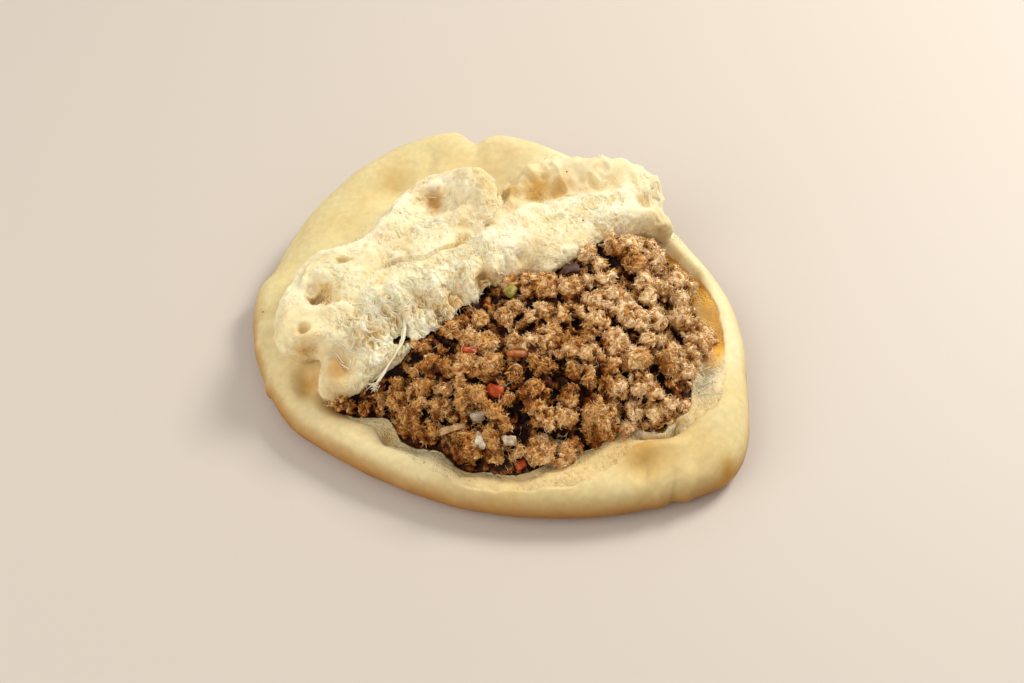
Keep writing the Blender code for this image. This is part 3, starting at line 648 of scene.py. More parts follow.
def web_lines(random):
    """The net's strands in plan: the borders between uneven cells, drawn out across the fold."""
    size = np.array([WEB_CELL, WEB_CELL * WEB_STRETCH])
    low = np.array([WEB_ALONG[0], WEB_ACROSS[0]]) / size - 1.5
    high = np.array([WEB_ALONG[1], WEB_ACROSS[1]]) / size + 1.5
    sites = []
    for _ in range(WEB_TRIES):
        site = Vector(random.uniform(low, high))
        if all((site - other).length > WEB_APART for other in sites):
            sites.append(site)
    places, _, corners, *_ = delaunay_2d_cdt(sites, [], [], 0, 1e-6)
    centres, owners = [], {}
    for number, corner in enumerate(corners):
        a, b, c = (places[index] for index in corner)
        twice = 2.0 * (a.x * (b.y - c.y) + b.x * (c.y - a.y) + c.x * (a.y - b.y))
        squares = [point.length_squared for point in (a, b, c)]
        centre_x = (squares[0] * (b.y - c.y) + squares[1] * (c.y - a.y) + squares[2] * (a.y - b.y)) / twice
        centre_y = (squares[0] * (c.x - b.x) + squares[1] * (a.x - c.x) + squares[2] * (b.x - a.x)) / twice
        centres.append((centre_x, centre_y))
        for first, second in ((0, 1), (1, 2), (2, 0)):
            owners.setdefault(frozenset((corner[first], corner[second])), []).append(number)
    lines = []
    for pair in owners.values():
        if len(pair) == 2:
            start, stop = np.array(centres[pair[0]]) * size, np.array(centres[pair[1]]) * size
            if np.linalg.norm(stop - start) < LONGEST_WEB_LINE and random.random() > 0.15:
                lines.append((swayed(*from_fold_frame(*start)), swayed(*from_fold_frame(*stop))))
    return lines


def swayed(x, y):
    """A place moved a little aside, so that the net is uneven."""
    place = Vector((x, y, 0.0)) / 0.0050
    return x + 0.9 * MM * noise.noise(place), y + 0.9 * MM * noise.noise(place + Vector((7.0, 3.0, 0.0)))


def border_reach(x, y):
    """Distance from the middle to the bread's border, in the direction of each place."""
    border = closed_curve(BASE_OUTLINE, 720)
    bearings = bearing_of(border[:, 0], border[:, 1])
    order = np.argsort(bearings)
    reach = np.linalg.norm(border, axis=1)
    return np.interp(bearing_of(x, y), bearings[order], reach[order], period=360.0)


def ledge_push(x, y, line, inner, outer, width):
    """A raised edge on one side of a line and a drop on the other, fading with distance."""
    nearest = np.full(len(x), 1.0)
    side = np.zeros(len(x))
    fade = np.zeros(len(x))
    for index, (start, stop) in enumerate(zip(line[:-1], line[1:])):
        dx, dy = stop[0] - start[0], stop[1] - start[1]
        length = math.hypot(dx, dy)
        share = np.clip(((x - start[0]) * dx + (y - start[1]) * dy) / length**2, 0.0, 1.0)
        away_x, away_y = x - start[0] - share * dx, y - start[1] - share * dy
        away = np.hypot(away_x, away_y)
        closer = away < nearest
        nearest = np.where(closer, away, nearest)
        side = np.where(closer, np.sign(dx * away_y - dy * away_x), side)
        place = (index + share) / (len(line) - 1)
        fade = np.where(closer, smooth_step(0.0, 0.15, place) * smooth_step(1.0, 0.85, place), fade)
    reach = np.exp(-((nearest / width) ** 2)) * fade
    return np.where(side < 0.0, -inner * reach, outer * reach)


def make_bread():
    base = object_from("base", cushion(
        BASE_OUTLINE, BASE_MIDDLE, base_top, base_bottom, base_edge, *BASE_GRID,
    ))
    left = object_from("lid_left", lid_part(
        LID_LEFT_OUTLINE, LID_LEFT_MIDDLE, LID_LEFT_TOP, LID_LEFT_SLOPE, LID_LEFT_THICKNESS,
        LID_LEFT_RELIEF, LID_LEFT_WAVES, *LID_LEFT_GRID,
    ))
    right = object_from("lid_right", lid_part(
        LID_RIGHT_OUTLINE, LID_RIGHT_MIDDLE, LID_RIGHT_TOP, LID_RIGHT_SLOPE, LID_RIGHT_THICKNESS,
        LID_RIGHT_RELIEF, LID_RIGHT_WAVES, *LID_RIGHT_GRID,
    ))
    build = bmesh.new()
    bmesh.ops.create_uvsphere(build, u_segments=40, v_segments=24, radius=1.0)
    lean = Matrix.LocRotScale(Vector(TIE_PLACE), Euler(TIE_LEAN), Vector(TIE_HALF_SIZE))
    bmesh.ops.transform(build, matrix=lean, verts=build.verts)
    tie = object_from("tie", build)
    base_tree = surface_of(base)
    lid = object_from("lid", join([left, right, tie]))
    lid_tree = surface_of(lid)
    bread = object_from("bread_loaf", join([base, lid]))
    pocket = object_from("pocket", core_body(POCKET_SWELL, *POCKET_GRID))
    lower_the_far_side(pocket.data)
    bpy.context.view_layer.update()
    with_modifier(bread, "REMESH", mode="VOXEL", voxel_size=BREAD_VOXEL)
    with_modifier(bread, "BOOLEAN", operation="DIFFERENCE", solver="MANIFOLD", object=pocket)
    bpy.data.objects.remove(pocket)
    mesh = bread.data
    edges = edges_of(mesh)
    points = points_of(mesh)
    points = relaxed(points, edges, np.ones(len(points)), 4, True)
    points = relaxed(points, edges, blended_places(points, BLENDED_SPOTS), 120)
    points = relaxed(points, edges, blended_places(points, VALLEY_SPOTS), 300)
    set_points(mesh, points)
    nearer_lid = distances_to(base_tree, points) - distances_to(lid_tree, points)
    lines = web_lines(np.random.default_rng(SEED))
    finish_bread(mesh, points, smooth_step(-0.5 * MM, 0.5 * MM, nearer_lid), lines)
    with_modifier(bread, "DECIMATE", ratio=BREAD_KEPT)
    bread.data.shade_smooth()
    return bread, lines


def lower_the_far_side(mesh):
    """Closes the pocket deep under the fold, where it can't be seen."""
    points = points_of(mesh)
    across = fold_frame(points[:, 0], points[:, 1])[1]
    sunk = smooth_step(6.0 * MM, 16.0 * MM, across)
    above = np.maximum(points[:, 2] - CORE_EDGE_LEVEL, 0.0)
    points[:, 2] = np.where(above > 0.0, CORE_EDGE_LEVEL + above * (1.0 - 0.85 * sunk), points[:, 2])
    set_points(mesh, points)


def strongest(x, y, spots):
    """The strongest of several soft spots: (x, y, radius or two half sizes, strength)."""
    share = np.zeros_like(x)
    for middle_x, middle_y, *reach, strength in spots:
        share = np.maximum(share, strength * bump(x, y, middle_x, middle_y, reach[0], reach[-1]))
    return share


def blended_places(points, spots):
    """Where the fold's back edge runs smoothly into the crust."""
    x, y, z = points.T
    return np.clip(2.0 * strongest(x, y, [(*spot, 1.0) for spot in spots]), 0.0, 1.0) * (z > 12.0 * MM)


def pulled_noise(points, size, stretch, salt, layers=2):
    """Noise whose streaks are drawn out across the fold."""
    along, across = turned(points[:, 0], points[:, 1], FOLD_BEARING)
    return layered_noise(np.stack([along, across / stretch, points[:, 2] / 1.5], axis=1), size, salt, layers)


def bread_regions(points, normals, on_lid):
    """Shares from 0 to 1 that say which part of the bread each point belongs to."""
    x, y, z = points.T
    at = SimpleNamespace(on_lid=on_lid, flat=smooth_step(0.45, 0.85, normals[:, 2]))
    bearing = bearing_of(x, y)
    inset = border_reach(x, y) - np.hypot(x, y)
    ragged = 0.7 * MM * layered_noise(points, 4.0 * MM, 301, 2)
    open_rim = (1.0 - closed_side(x, y)) * smooth_step(7.0 * MM, 8.5 * MM, z) * (1.0 - on_lid)
    border = np.interp(bearing, *np.array(CRUMB_BORDER).T)
    at.rim_inside = smooth_step(-0.3 * MM, 0.3 * MM, inset + ragged - border) * open_rim
    at.right_rim = smooth_step(-22.0, -12.0, bearing) * smooth_step(60.0, 45.0, bearing)
    at.pored = 1.0 - 0.8 * at.right_rim
    at.left_front = smooth_step(-95.0, -115.0, bearing)
    at.ridge = smooth_step(-0.022, 0.026, x) * smooth_step(0.034, 0.044, y)
    at.ridge *= smooth_step(14.0 * MM, 22.0 * MM, z)
    at.end_lobe, at.swirl, at.flap = (bump(x, y, *lobe) for lobe in (END_LOBE, SWIRL, FLAP))

    # The back of the right half, the fold's far end and its lobes keep their smooth skin.
    skin_line = 0.0440 + 0.0030 * layered_noise(points, 6.0 * MM, 303, 2)
    skin = 0.7 * smooth_step(-2.0 * MM, 3.0 * MM, y - skin_line)
    skin *= smooth_step(-1.0 * MM, 3.0 * MM, x - 0.0025)
    skin = np.maximum(skin, 0.6 * smooth_step(0.046, 0.054, x))
    at.skin = np.clip(np.maximum.reduce([skin, 0.8 * at.end_lobe, 0.9 * at.swirl, 0.9 * at.flap]), 0.0, 1.0)
    at.torn = on_lid * (1.0 - at.skin)
    at.web = web_share(x, y) * on_lid * smooth_step(0.0, 0.5, normals[:, 2])
    return at


def net_floor(points, web, lines):
    """How deep each point of the net lies between its strands, from 0 on a strand to 1."""
    x, y = points[:, 0], points[:, 1]
    tree = KDTree(SPOTS_PER_LINE * len(lines))
    for (ax, ay), (bx, by) in lines:
        for step in range(SPOTS_PER_LINE):
            share = step / (SPOTS_PER_LINE - 1.0)
            tree.insert((ax + share * (bx - ax), ay + share * (by - ay), 0.0), 0)
    tree.balance()
    away = np.zeros(len(points))
    for index in np.nonzero(web > 0.02)[0]:
        away[index] = tree.find((x[index], y[index], 0.0))[2]
    cells = 0.5 + 0.5 * soft_noise(points, 3.0 * MM, 305)
    return smooth_step(0.25 * MM, 1.15 * MM, away) * web * smooth_step(0.2, 0.8, cells)


def dough_grain(points):
    """The torn dough's pores, streaks, fuzz and lumps at each point."""
    bent = points + 0.5 * MM * drift(points, 2.5 * MM, (311, 321, 331))
    pore_wall, pore_own = foam(bent, 1.7 * MM, 401)
    tiny_wall, tiny_own = foam(points, 1.15 * MM, 431)
    wide_lumps = 1.0 * MM * layered_noise(points, 8.0 * MM, 361, 2)
    return SimpleNamespace(
        bent=bent,
        pores=smooth_step(0.10, 0.55, pore_wall) * smooth_step(0.45, 0.95, pore_own),
        tiny=smooth_step(0.15, 0.6, tiny_wall) * smooth_step(0.5, 0.9, tiny_own),
        streaks=(1.0 - np.abs(pulled_noise(points, 2.2 * MM, 2.6, 341))) ** 4,
        folds=(1.0 - np.abs(pulled_noise(points, 5.5 * MM, 2.4, 343))) ** 3,
        fuzz=layered_noise(points, 1.5 * MM, 351, 2),
        lumps=wide_lumps + 0.7 * MM * layered_noise(points, 3.4 * MM, 371, 2),
    )


def bread_push(points, at, grain, floor):
    """How far each point stands out: folds and rings of the lid, torn crumb, open rim and plain crust."""
    x, y, z = points.T
    lid_push = relief(x, y, TORN_RELIEF) * at.on_lid + 0.5 * grain.lumps * at.skin * at.on_lid
    uneven = 1.0 + 0.18 * soft_noise(points, 5.0 * MM, 307)
    for ring_x, ring_y, radius, height in RINGS:
        away = np.hypot(x - ring_x, y - ring_y) * uneven
        lid_push += height * np.exp(-(((away - radius) / (0.42 * radius)) ** 2)) * at.on_lid
    for line, inner, outer, width in LEDGES:
        lid_push += ledge_push(x, y, line, inner, outer, width) * at.on_lid
    lid_push += 1.3 * MM * (grain.folds - 0.45) * at.ridge * at.on_lid
    lid_push += 1.4 * MM * layered_noise(grain.bent, 4.5 * MM, 387) * smooth_step(0.046, 0.056, x) * at.on_lid
    pitted = 0.35 * grain.pores * (1.0 - at.web) + 0.2 * grain.tiny
    torn_push = grain.lumps + MM * (0.30 * grain.streaks + 0.16 * grain.fuzz - pitted) - WEB_DEPTH * floor
    pitted = (0.55 * grain.pores + 0.35 * grain.tiny) * at.pored
    rim_push = MM * (0.35 * layered_noise(points, 4.0 * MM, 381, 2) - pitted - 0.35)
    rim_push += 1.6 * MM * bump(x, y, *CAVE) * layered_noise(grain.bent, 2.6 * MM, 385, 2)
    waves = 0.35 * layered_noise(points, 12.0 * MM, 391, 2) + 0.07 * layered_noise(points, 2.5 * MM, 395, 2)
    crust_push = MM * waves + relief(x, y, RIM_RELIEF)
    push = lid_push + torn_push * at.torn + rim_push * at.rim_inside + crust_push * (1.0 - at.on_lid)
    return push * smooth_step(0.2 * MM, 3.0 * MM, z)


def crust_colours(points, at, grain, mottle):
    """Pale baked crust, painted shade of tan and brown towards the foot, cream on the lid's lobes and ridge.
    """
    z = points[:, 2]
    # Tan and brown towards the foot: painted shade.
    low_side = smooth_step(15.0 * MM, 4.0 * MM, z)
    colours = mixed(CRUST_PALE, CRUST_TAN, np.clip(0.1 + 0.6 * mottle + 0.5 * low_side, 0.0, 1.0))
    colours = mixed(colours, CRUST_FOOT_SHADE, 0.92 * low_side * (0.7 + 0.5 * mottle))
    # Paler cream on the up-facing tops of the right rim and of the front-left rim: painted light.
    colours = mixed(colours, CRUMB_CREAM, 0.6 * at.right_rim * at.flat)
    upper = smooth_step(9.0 * MM, 12.0 * MM, z) * (1.0 - at.on_lid)
    colours = mixed(colours, CRUMB_CREAM, 0.35 * at.left_front * at.flat * upper)
    lobes = (at.end_lobe + at.swirl).clip(0.0, 1.0)
    colours = mixed(colours, CRUMB_CREAM, np.maximum(0.8 * at.ridge, 0.25 * lobes * at.on_lid))
    # Gold in the valleys between the ridge's folds: painted shade.
    colours = mixed(colours, CRUST_GOLD, 0.35 * (1.0 - grain.folds) * at.ridge)
    # Brown on the flap: painted shade.
    return mixed(colours, HOLLOW_BROWN, 0.9 * at.flap)


def crumb_colours(at, grain, floor, mottle):
    """White and cream crumb, with painted shade that makes it golden in its pits and between the strands of
    the net.
    """
    # Golden in the pores, in the low places of the torn crumb and on the floors between the net's strands:
    # painted shade.
    low_places = smooth_step(0.0, -0.9 * MM, grain.lumps + 0.3 * MM * grain.fuzz)
    pits = 0.55 * floor + 0.40 * grain.pores + 0.3 * grain.tiny + 0.65 * low_places
    # The rim's pores get painted shade; its steep walls get less of it than where it faces up, as painted
    # light.
    rim_pits = 0.25 * at.flat * (1.0 - at.left_front) + (0.7 * grain.pores + 0.5 * grain.tiny) * at.pored
    hollow = np.maximum(np.clip(at.torn * pits, 0.0, 1.0), np.clip(at.rim_inside * rim_pits, 0.0, 1.0))
    cream = np.clip(0.9 * mottle - 0.25 * grain.streaks + 0.1 + 0.3 * (1.0 - at.web), 0.0, 1.0)
    colours = mixed(CRUMB_PALE, CRUMB_CREAM, cream)
    # Tan where the rim's crumb faces up, less at the front left, so that its steep walls stay pale: painted
    # light.
    colours = mixed(colours, CRUST_TAN, 0.60 * at.rim_inside * at.flat * (1.0 - 0.8 * at.left_front))
    colours = mixed(colours, CRUMB_PIT_SHADE, 0.9 * hollow)
    # A yellower crumb on the rim's inside at the front left: painted shade.
    return mixed(colours, CRUMB_IN_SHADE, 0.85 * at.rim_inside * at.left_front)


def bread_colours(points, normals, at, grain, floor):
    x, y, _ = points.T
    mottle = 0.5 + 0.5 * layered_noise(points, 12.0 * MM, 451, 3)
    crumb = np.maximum(at.torn, at.rim_inside)[:, None]
    colours = crust_colours(points, at, grain, mottle) * (1.0 - crumb)
    colours = colours + crumb_colours(at, grain, floor, mottle) * crumb
    uneven = 1.0 + 0.4 * layered_noise(points, 4.0 * MM, 441, 2)
    # Golden patches: painted shade in pits and hollows, the crust's own gold on the front lip.
    colours = mixed(colours, CRUST_GOLD, 0.85 * np.clip(strongest(x, y, GOLD_AND_SHADE_PATCHES) * uneven, 0.0, 1.0))
    colours = mixed(colours, CRUMB_PALE, 0.45 * bump(x, y, *BASIN) * at.rim_inside)

    # Light that shines through the thin wall of the right rim.
    inward = -(normals[:, 0] * x + normals[:, 1] * y) / (np.hypot(x, y) + 1e-6)
    glow = 0.95 * at.right_rim * at.rim_inside * smooth_step(0.12, 0.45, inward)
    colours = mixed(colours, RIM_GLOW, glow * (0.75 + 0.35 * layered_noise(points, 5.0 * MM, 445, 2)))
    # Brown spots, the one in the tongue's hollow painted shade.
    return mixed(colours, HOLLOW_BROWN, 0.8 * strongest(x, y, BROWN_AND_SHADE_SPOTS))


def finish_bread(mesh, points, on_lid, lines):
    """Raises the crumb's webs and pores and the crust's dimples, and paints the bread."""
    normals = normals_of(mesh)
    at = bread_regions(points, normals, on_lid)
    grain = dough_grain(points)
    floor = net_floor(points, at.web, lines)
    set_points(mesh, points + normals * bread_push(points, at, grain, floor)[:, None])
    paint(mesh, "tint", bread_colours(points, normals, at, grain, floor))
    net = np.clip(web_share(points[:, 0], points[:, 1]) * on_lid + 0.35 * at.torn, 0.0, 1.0)
    add_shares(mesh, np.maximum(at.torn, at.rim_inside), net)


def add_shares(mesh, crumb, net):
    """How much each point is torn crumb, and how much of that is a drawn-out net."""
    for name, values in (("crumb", crumb), ("net", net)):
        layer = mesh.attributes.new(name, "FLOAT", "POINT")
        layer.data.foreach_set("value", np.asarray(values).astype(np.float32))


# Strands of dough
def tubes(paths, radii, sides=4):
    """Thin tapering tubes along paths of points. Radii hold one row of values per path."""
    points, faces = [], []
    for path, radius in zip(paths, radii):
        path = np.asarray(path)
        start = len(points)
        step = np.gradient(path, axis=0)
        step /= np.linalg.norm(step, axis=1)[:, None] + 1e-12
        side = np.cross(step, (0.31, 0.17, 0.93))
        side /= np.linalg.norm(side, axis=1)[:, None] + 1e-12
        other = np.cross(step, side)
        for place, a, b, width in zip(path, side, other, radius):
            for corner in range(sides):
                turn = 2.0 * math.pi * corner / sides
                points.append(place + width * (a * math.cos(turn) + b * math.sin(turn)))
        for ring in range(len(path) - 1):
            for corner in range(sides):
                first = start + ring * sides + corner
                second = start + ring * sides + (corner + 1) % sides
                faces.append((first, second, second + sides))
                faces.append((first, second + sides, first + sides))
        last = start + (len(path) - 1) * sides
        for corner in range(1, sides - 1):
            faces.append((start, start + corner + 1, start + corner))
            faces.append((last, last + corner, last + corner + 1))
    return np.array(points), np.array(faces)


# Thick strands that hang from the torn edge: path and radius.
HANGING_STRANDS = (
    (in_metres((
        (-30.2, -12, 32.2), (-30, -16, 32.2), (-29.9, -20, 31.6), (-30.4, -23.8, 30.2),
        (-32.4, -28, 28.7), (-35.2, -32, 26.7), (-37.4, -35.2, 25.2), (-39.1, -38, 24),
    )), 0.00072),
    (in_metres((
        (-29.7, -17, 32.2), (-30.2, -24, 30.3), (-32.7, -28.8, 28.6), (-35.5, -33, 26.4),
        (-37.8, -37, 24.6),
    )), 0.00042),
    (in_metres((
        (-30.7, -20, 31.5), (-31.4, -25, 29.8), (-34, -30.2, 27.5), (-37, -34, 25.6),
    )), 0.00024),
    (in_metres((
        (-35, -31.6, 26.8), (-37.2, -34.4, 25.8), (-40.2, -36.8, 24.6),
    )), 0.0002),
)

# The thickest strand's torn end, and the number of short fibres that stand out of it.
FRAYED_END = (-0.0393, -0.0381, 0.0238)
FRAYED_FIBRES = 34

# Dark specks on the crust, in plan.
SPECKS = ((-0.0820, 0.0027), (0.0252, 0.0509), (0.0302, 0.0260))
SPECK_BROWN = linear("#4A3418")
SPECK_RADIUS = 0.32 * MM


def make_strands(bread, lines):
    """Gluten strands: the net's own, a few that hang from the torn edge, and fuzz along the tears."""
    random = np.random.default_rng(SEED + 1)
    tree = surface_of(bread)
    paths, radii = [], []
    for (ax, ay), (bx, by) in lines:
        middle_x, middle_y = 0.5 * (ax + bx), 0.5 * (ay + by)
        share = web_share(np.array([middle_x]), np.array([middle_y]))[0]
        if share < 0.15 or random.random() > 0.25 + 0.5 * share:
            continue
        length = math.hypot(bx - ax, by - ay)
        steps = max(3, int(length / (0.7 * MM)) + 1)
        turn_x, turn_y = (by - ay) * random.uniform(-0.12, 0.12), (ax - bx) * random.uniform(-0.12, 0.12)
        path = []
        for step in range(steps + 1):
            part = step / steps
            sway = 4.0 * part * (1.0 - part)
            x, y = ax + part * (bx - ax) + sway * turn_x, ay + part * (by - ay) + sway * turn_y
            hit, _ = drop_down(tree, x, y)
            if hit is not None and hit.z > 18.0 * MM:
                path.append(np.array(hit) + np.array((0.0, 0.0, 0.08 * MM + 0.15 * MM * sway)))
        if len(path) >= 3 and max(np.abs(np.diff([place[2] for place in path]))) < 2.2 * MM:
            width = random.uniform(0.08, 0.19) * MM * (0.6 + 0.6 * share)
            paths.append(path)
            radii.append(np.linspace(width, width * random.uniform(0.5, 1.2), len(path)))
    for path, width in HANGING_STRANDS:
        path = open_curve(np.array(path), 14)
        paths.append(path + random.normal(size=path.shape) * 0.05 * MM)
        radii.append(width * np.linspace(1.1, 0.55, len(path)) * random.uniform(0.8, 1.2, len(path)))
    for more_paths, more_radii in (torn_fuzz(tree, random), draped_threads(tree, random)):
        paths += more_paths
        radii += more_radii
    for _ in range(FRAYED_FIBRES):
        start = np.array(FRAYED_END) + random.normal(size=3) * 0.6 * MM
        way = np.array((-0.3, -0.5, 0.2)) + random.normal(size=3) * 0.7
        paths.append(start + np.linspace(0.0, random.uniform(0.8, 1.8) * MM, 4)[:, None] * way)
        radii.append(random.uniform(0.10, 0.20) * MM * np.linspace(1.2, 0.4, 4))
    points, faces = tubes(paths, radii, 3)
    shade = 0.5 + 0.5 * layered_noise(points, 3.0 * MM, 461, 2)
    colours = mixed(CRUMB_PALE, CRUST_PALE, 0.25 + 0.5 * shade)
    specks = np.array([np.array(drop_down(tree, x, y)[0]) for x, y in SPECKS])
    sizes = np.full((len(specks), 3), SPECK_RADIUS)
    grains, grain_faces = scattered(ball(1), specks, sizes, turns(random, len(specks)))
    faces = np.vstack([faces, grain_faces + len(points)])
    points = np.vstack([points, grains])
    strands = mesh_from_arrays("dough_strands", points, faces)
    paint(strands.data, "tint", np.vstack([colours, np.tile(SPECK_BROWN, (len(grains), 1))]))
    return strands


# Fields of fine threads drawn over the torn dough: (x, y, half length, half width, bearing, number, longest).
THREAD_FIELDS = in_metres((
    (-34, -12, 23, 12, 38, 300, 7), (-6, 8, 16, 8, 38, 110, 7), (-54, 4, 12, 10, 60, 40, 4),
    (-25, 24, 20, 12, 34, 90, 5), (20, 23, 23, 8, 30, 90, 4), (-60, -4, 4.5, 3.5, 0, 14, 6),
    (56, 42, 6, 9, 10, 30, 5), (70, -28, 9, 5, 95, 90, 6), (53, -49, 11, 3, 10, 110, 4),
), but=(4, 5))


def draped_threads(tree, random):
    """Fine threads that lie over the torn dough and bridge its pits, drawn out across the fold."""
    paths, radii = [], []
    for cx, cy, half_length, half_width, bearing, count, longest in THREAD_FIELDS:
        turn = math.radians(bearing)
        for _ in range(count):
            a, b = random.normal(size=2).clip(-2.0, 2.0) * (0.5 * half_length, 0.5 * half_width)
            x = cx + a * math.cos(turn) - b * math.sin(turn)
            y = cy + a * math.sin(turn) + b * math.cos(turn)
            way = turn + math.pi / 2.0 + random.normal() * 0.5
            length = longest * random.uniform(0.3, 1.0)
            steps = max(4, int(length / (0.7 * MM)))
            places = []
            for step in range(steps + 1):
                hit, _ = drop_down(tree, x, y)
                if hit is None or hit.z < 9.0 * MM:
                    break
                places.append(np.array(hit))
                way += random.normal() * 0.16
                x += math.cos(way) * length / steps
                y += math.sin(way) * length / steps
            if len(places) < 4:
                continue
            path = np.array(places)
            straight = np.linspace(path[0], path[-1], len(path))[:, 2]
            bridged = np.maximum(path[:, 2], np.minimum(straight, path[:, 2] + 0.7 * MM))
            if np.max(np.abs(np.diff(bridged))) > 1.6 * MM:
                continue
            path[:, 2] = bridged + 0.04 * MM
            width = random.uniform(0.06, 0.20) * MM
            paths.append(path)
            radii.append(width * np.linspace(1.2, 0.5, len(path)))
    return paths, radii


# Stretches with torn fuzz: start and end in plan, lowest height, number, longest, lean towards (x, y, z).
FUZZ_LINES = (
    ((-0.0480, -0.0370), (-0.0150, -0.0130), 0.018, 150, 0.0024, (0.4, -0.7, -0.5)),
    ((-0.0150, -0.0130), (0.0100, 0.0040), 0.018, 90, 0.0020, (0.4, -0.7, -0.4)),
    ((0.0010, 0.0470), (-0.0020, 0.0260), 0.020, 60, 0.0014, (0.8, 0.0, 0.5)),
    ((-0.0560, 0.0210), (-0.0360, 0.0420), 0.018, 60, 0.0014, (-0.5, 0.6, 0.5)),
    ((0.0150, 0.0600), (0.0400, 0.0590), 0.020, 26, 0.0028, (0.0, 0.5, 0.9)),
    ((0.0600, 0.0400), (0.0660, 0.0330), 0.014, 30, 0.0020, (0.7, -0.2, 0.2)),
)


def torn_fuzz(tree, random):
    paths, radii = [], []
    for start, stop, lowest, count, longest, lean in FUZZ_LINES:
        for _ in range(count):
            share = random.random()
            x = start[0] + share * (stop[0] - start[0]) + random.normal() * 1.3 * MM
            y = start[1] + share * (stop[1] - start[1]) + random.normal() * 1.3 * MM
            hit, normal = drop_down(tree, x, y)
            if hit is None or hit.z < lowest:
                continue
            way = np.array(lean) + random.normal(size=3) * 0.5 + 0.4 * np.array(normal)
            way /= np.linalg.norm(way)
            bow = random.normal(size=3) * 0.35
            length = longest * random.uniform(0.35, 1.0)
            part = np.linspace(0.0, 1.0, 5)[:, None]
            path = np.array(hit) - 0.3 * MM * way + length * (part * way + 0.5 * part**2 * bow)
            paths.append(path)
            radii.append(random.uniform(0.10, 0.20) * MM * np.linspace(1.3, 0.3, 5))
    return paths, radii


# Filling
HERRING_DEEP = linear("#1C0600")
HERRING_DARK = linear("#451900")
HERRING_BROWN = linear("#975112")
HERRING_TAN = linear("#D89C50")
HERRING_PALE = linear("#FFDEAC")

# The clumps that show, in millimetres: (x, y, radius), placed on the mince's own surface.
CLUMPS = (
    (53.6, 23.5, 2.9), (47.4, 20, 3.2), (55.7, 18.4, 2.1), (40.2, 17.8, 2.8), (44.3, 16.1, 2.8),
    (31.6, 13, 2.8), (47.6, 12.9, 3.1), (53.9, 11.2, 2.8), (35.6, 8.2, 1.7), (48.4, 7.9, 3.1),
    (61.9, 6.6, 3.1), (66.8, 6.6, 2.8), (56, 0.7, 3.1), (50.7, 0.5, 3.1), (31.2, 0.3, 2),
    (37, -0.1, 2.4), (5.4, -1, 2.7), (10.8, -1, 2.7), (16.6, -1.9, 3.1), (21, -2, 3.1),
    (63.3, -2.2, 3.1), (26, -3.4, 3.4), (33.4, -3.4, 3.1), (58.4, -4.5, 3.1), (51.9, -6.6, 2.4),
    (40, -6.7, 3), (28.2, -7.8, 2.7), (33.9, -10, 3.4), (62.2, -10.8, 3.1), (6.4, -11.6, 2.7),
    (16.4, -13, 2.3), (44.1, -13.1, 3), (68.9, -14.6, 4.5), (53.2, -15.1, 2.7), (11.4, -15.3, 2),
    (3.1, -15.6, 2.3), (22.4, -15.6, 2.7), (-5.2, -16.4, 2.3), (47, -16.5, 3), (33.6, -17.2, 3.3),
    (-14.4, -21.3, 2.3), (65.3, -21.6, 2.4), (54.6, -21.8, 1.7), (31.1, -22, 2.6), (18.9, -22.8, 3),
    (50.3, -23.3, 2.3), (58.7, -23.8, 3), (1.5, -24.9, 3), (-8.4, -25, 2.6), (5.7, -26.1, 2.6),
    (39.5, -26.7, 3), (-3.4, -27.2, 3.3), (21.7, -27.9, 2.9), (16.8, -28.3, 2.6), (44, -28.5, 3),
    (38.1, -28.8, 2.6), (62.2, -29, 3), (26, -29.1, 2.9), (11.3, -29.2, 2.6), (-8.3, -29.3, 2.6),
    (56.4, -30.3, 3), (52.2, -31.1, 3), (30.8, -31.8, 2.9), (46.1, -32.6, 3.3), (-20.7, -33.5, 2.3),
    (37.3, -34.1, 2), (-16.4, -34.2, 2), (-26.3, -34.7, 2), (-7.6, -35.2, 3.2), (15.4, -35.9, 2.9),
    (-44, -36.2, 2.3), (42.2, -36.3, 2.6), (-13.1, -36.4, 2.3), (-33, -36.6, 2), (25.8, -36.7, 2.9),
    (-1.7, -37.1, 2.9), (35.6, -37.4, 2.3), (-50.5, -37.8, 3.7), (30.7, -37.8, 2), (-38.1, -38.7, 1.7),
    (6.4, -38.9, 2.3), (47.4, -39.1, 2.9), (-26.1, -39.7, 2), (39.6, -39.7, 2.9), (52, -40.7, 2.6),
    (-22.9, -40.9, 2.6), (-11.4, -41.1, 1.9), (-17, -41.2, 2.3), (-32.2, -41.3, 2.6), (39.6, -43, 2.6),
    (56.4, -43.3, 2.3), (-13, -43.4, 2.6), (12.1, -43.5, 3.5), (24.1, -43.5, 2.9), (52.1, -44.5, 3),
    (-25.1, -44.5, 2.3), (45.5, -45.1, 2.3), (-4.8, -46.1, 2.2), (-17.9, -46.4, 2.3), (3.2, -47, 2.2),
    (-9.4, -47.2, 2.9), (-27.8, -47.4, 2.9), (33.9, -48.2, 5.5), (12.8, -48.5, 2.6), (-12, -48.8, 2.6),
    (42.7, -49, 2), (21.8, -50.1, 2.9), (-24.5, -50.8, 2.6), (0, -51.2, 2.9), (-19.6, -51.2, 2.3),
    (16, -51.5, 2.9), (2.5, -53.6, 1.9), (20.8, -54.5, 2.6), (26.1, -55.6, 2.3), (-1.6, -57.7, 2.9),
    (20.9, -58.2, 2.9), (-8, -58.5, 3.2), (14.4, -59.3, 3.2), (-11, -60.2, 2.6), (7.3, -61.1, 1.9),
    (0, -61.3, 2.9), (-6.4, -62.7, 3.2),
)

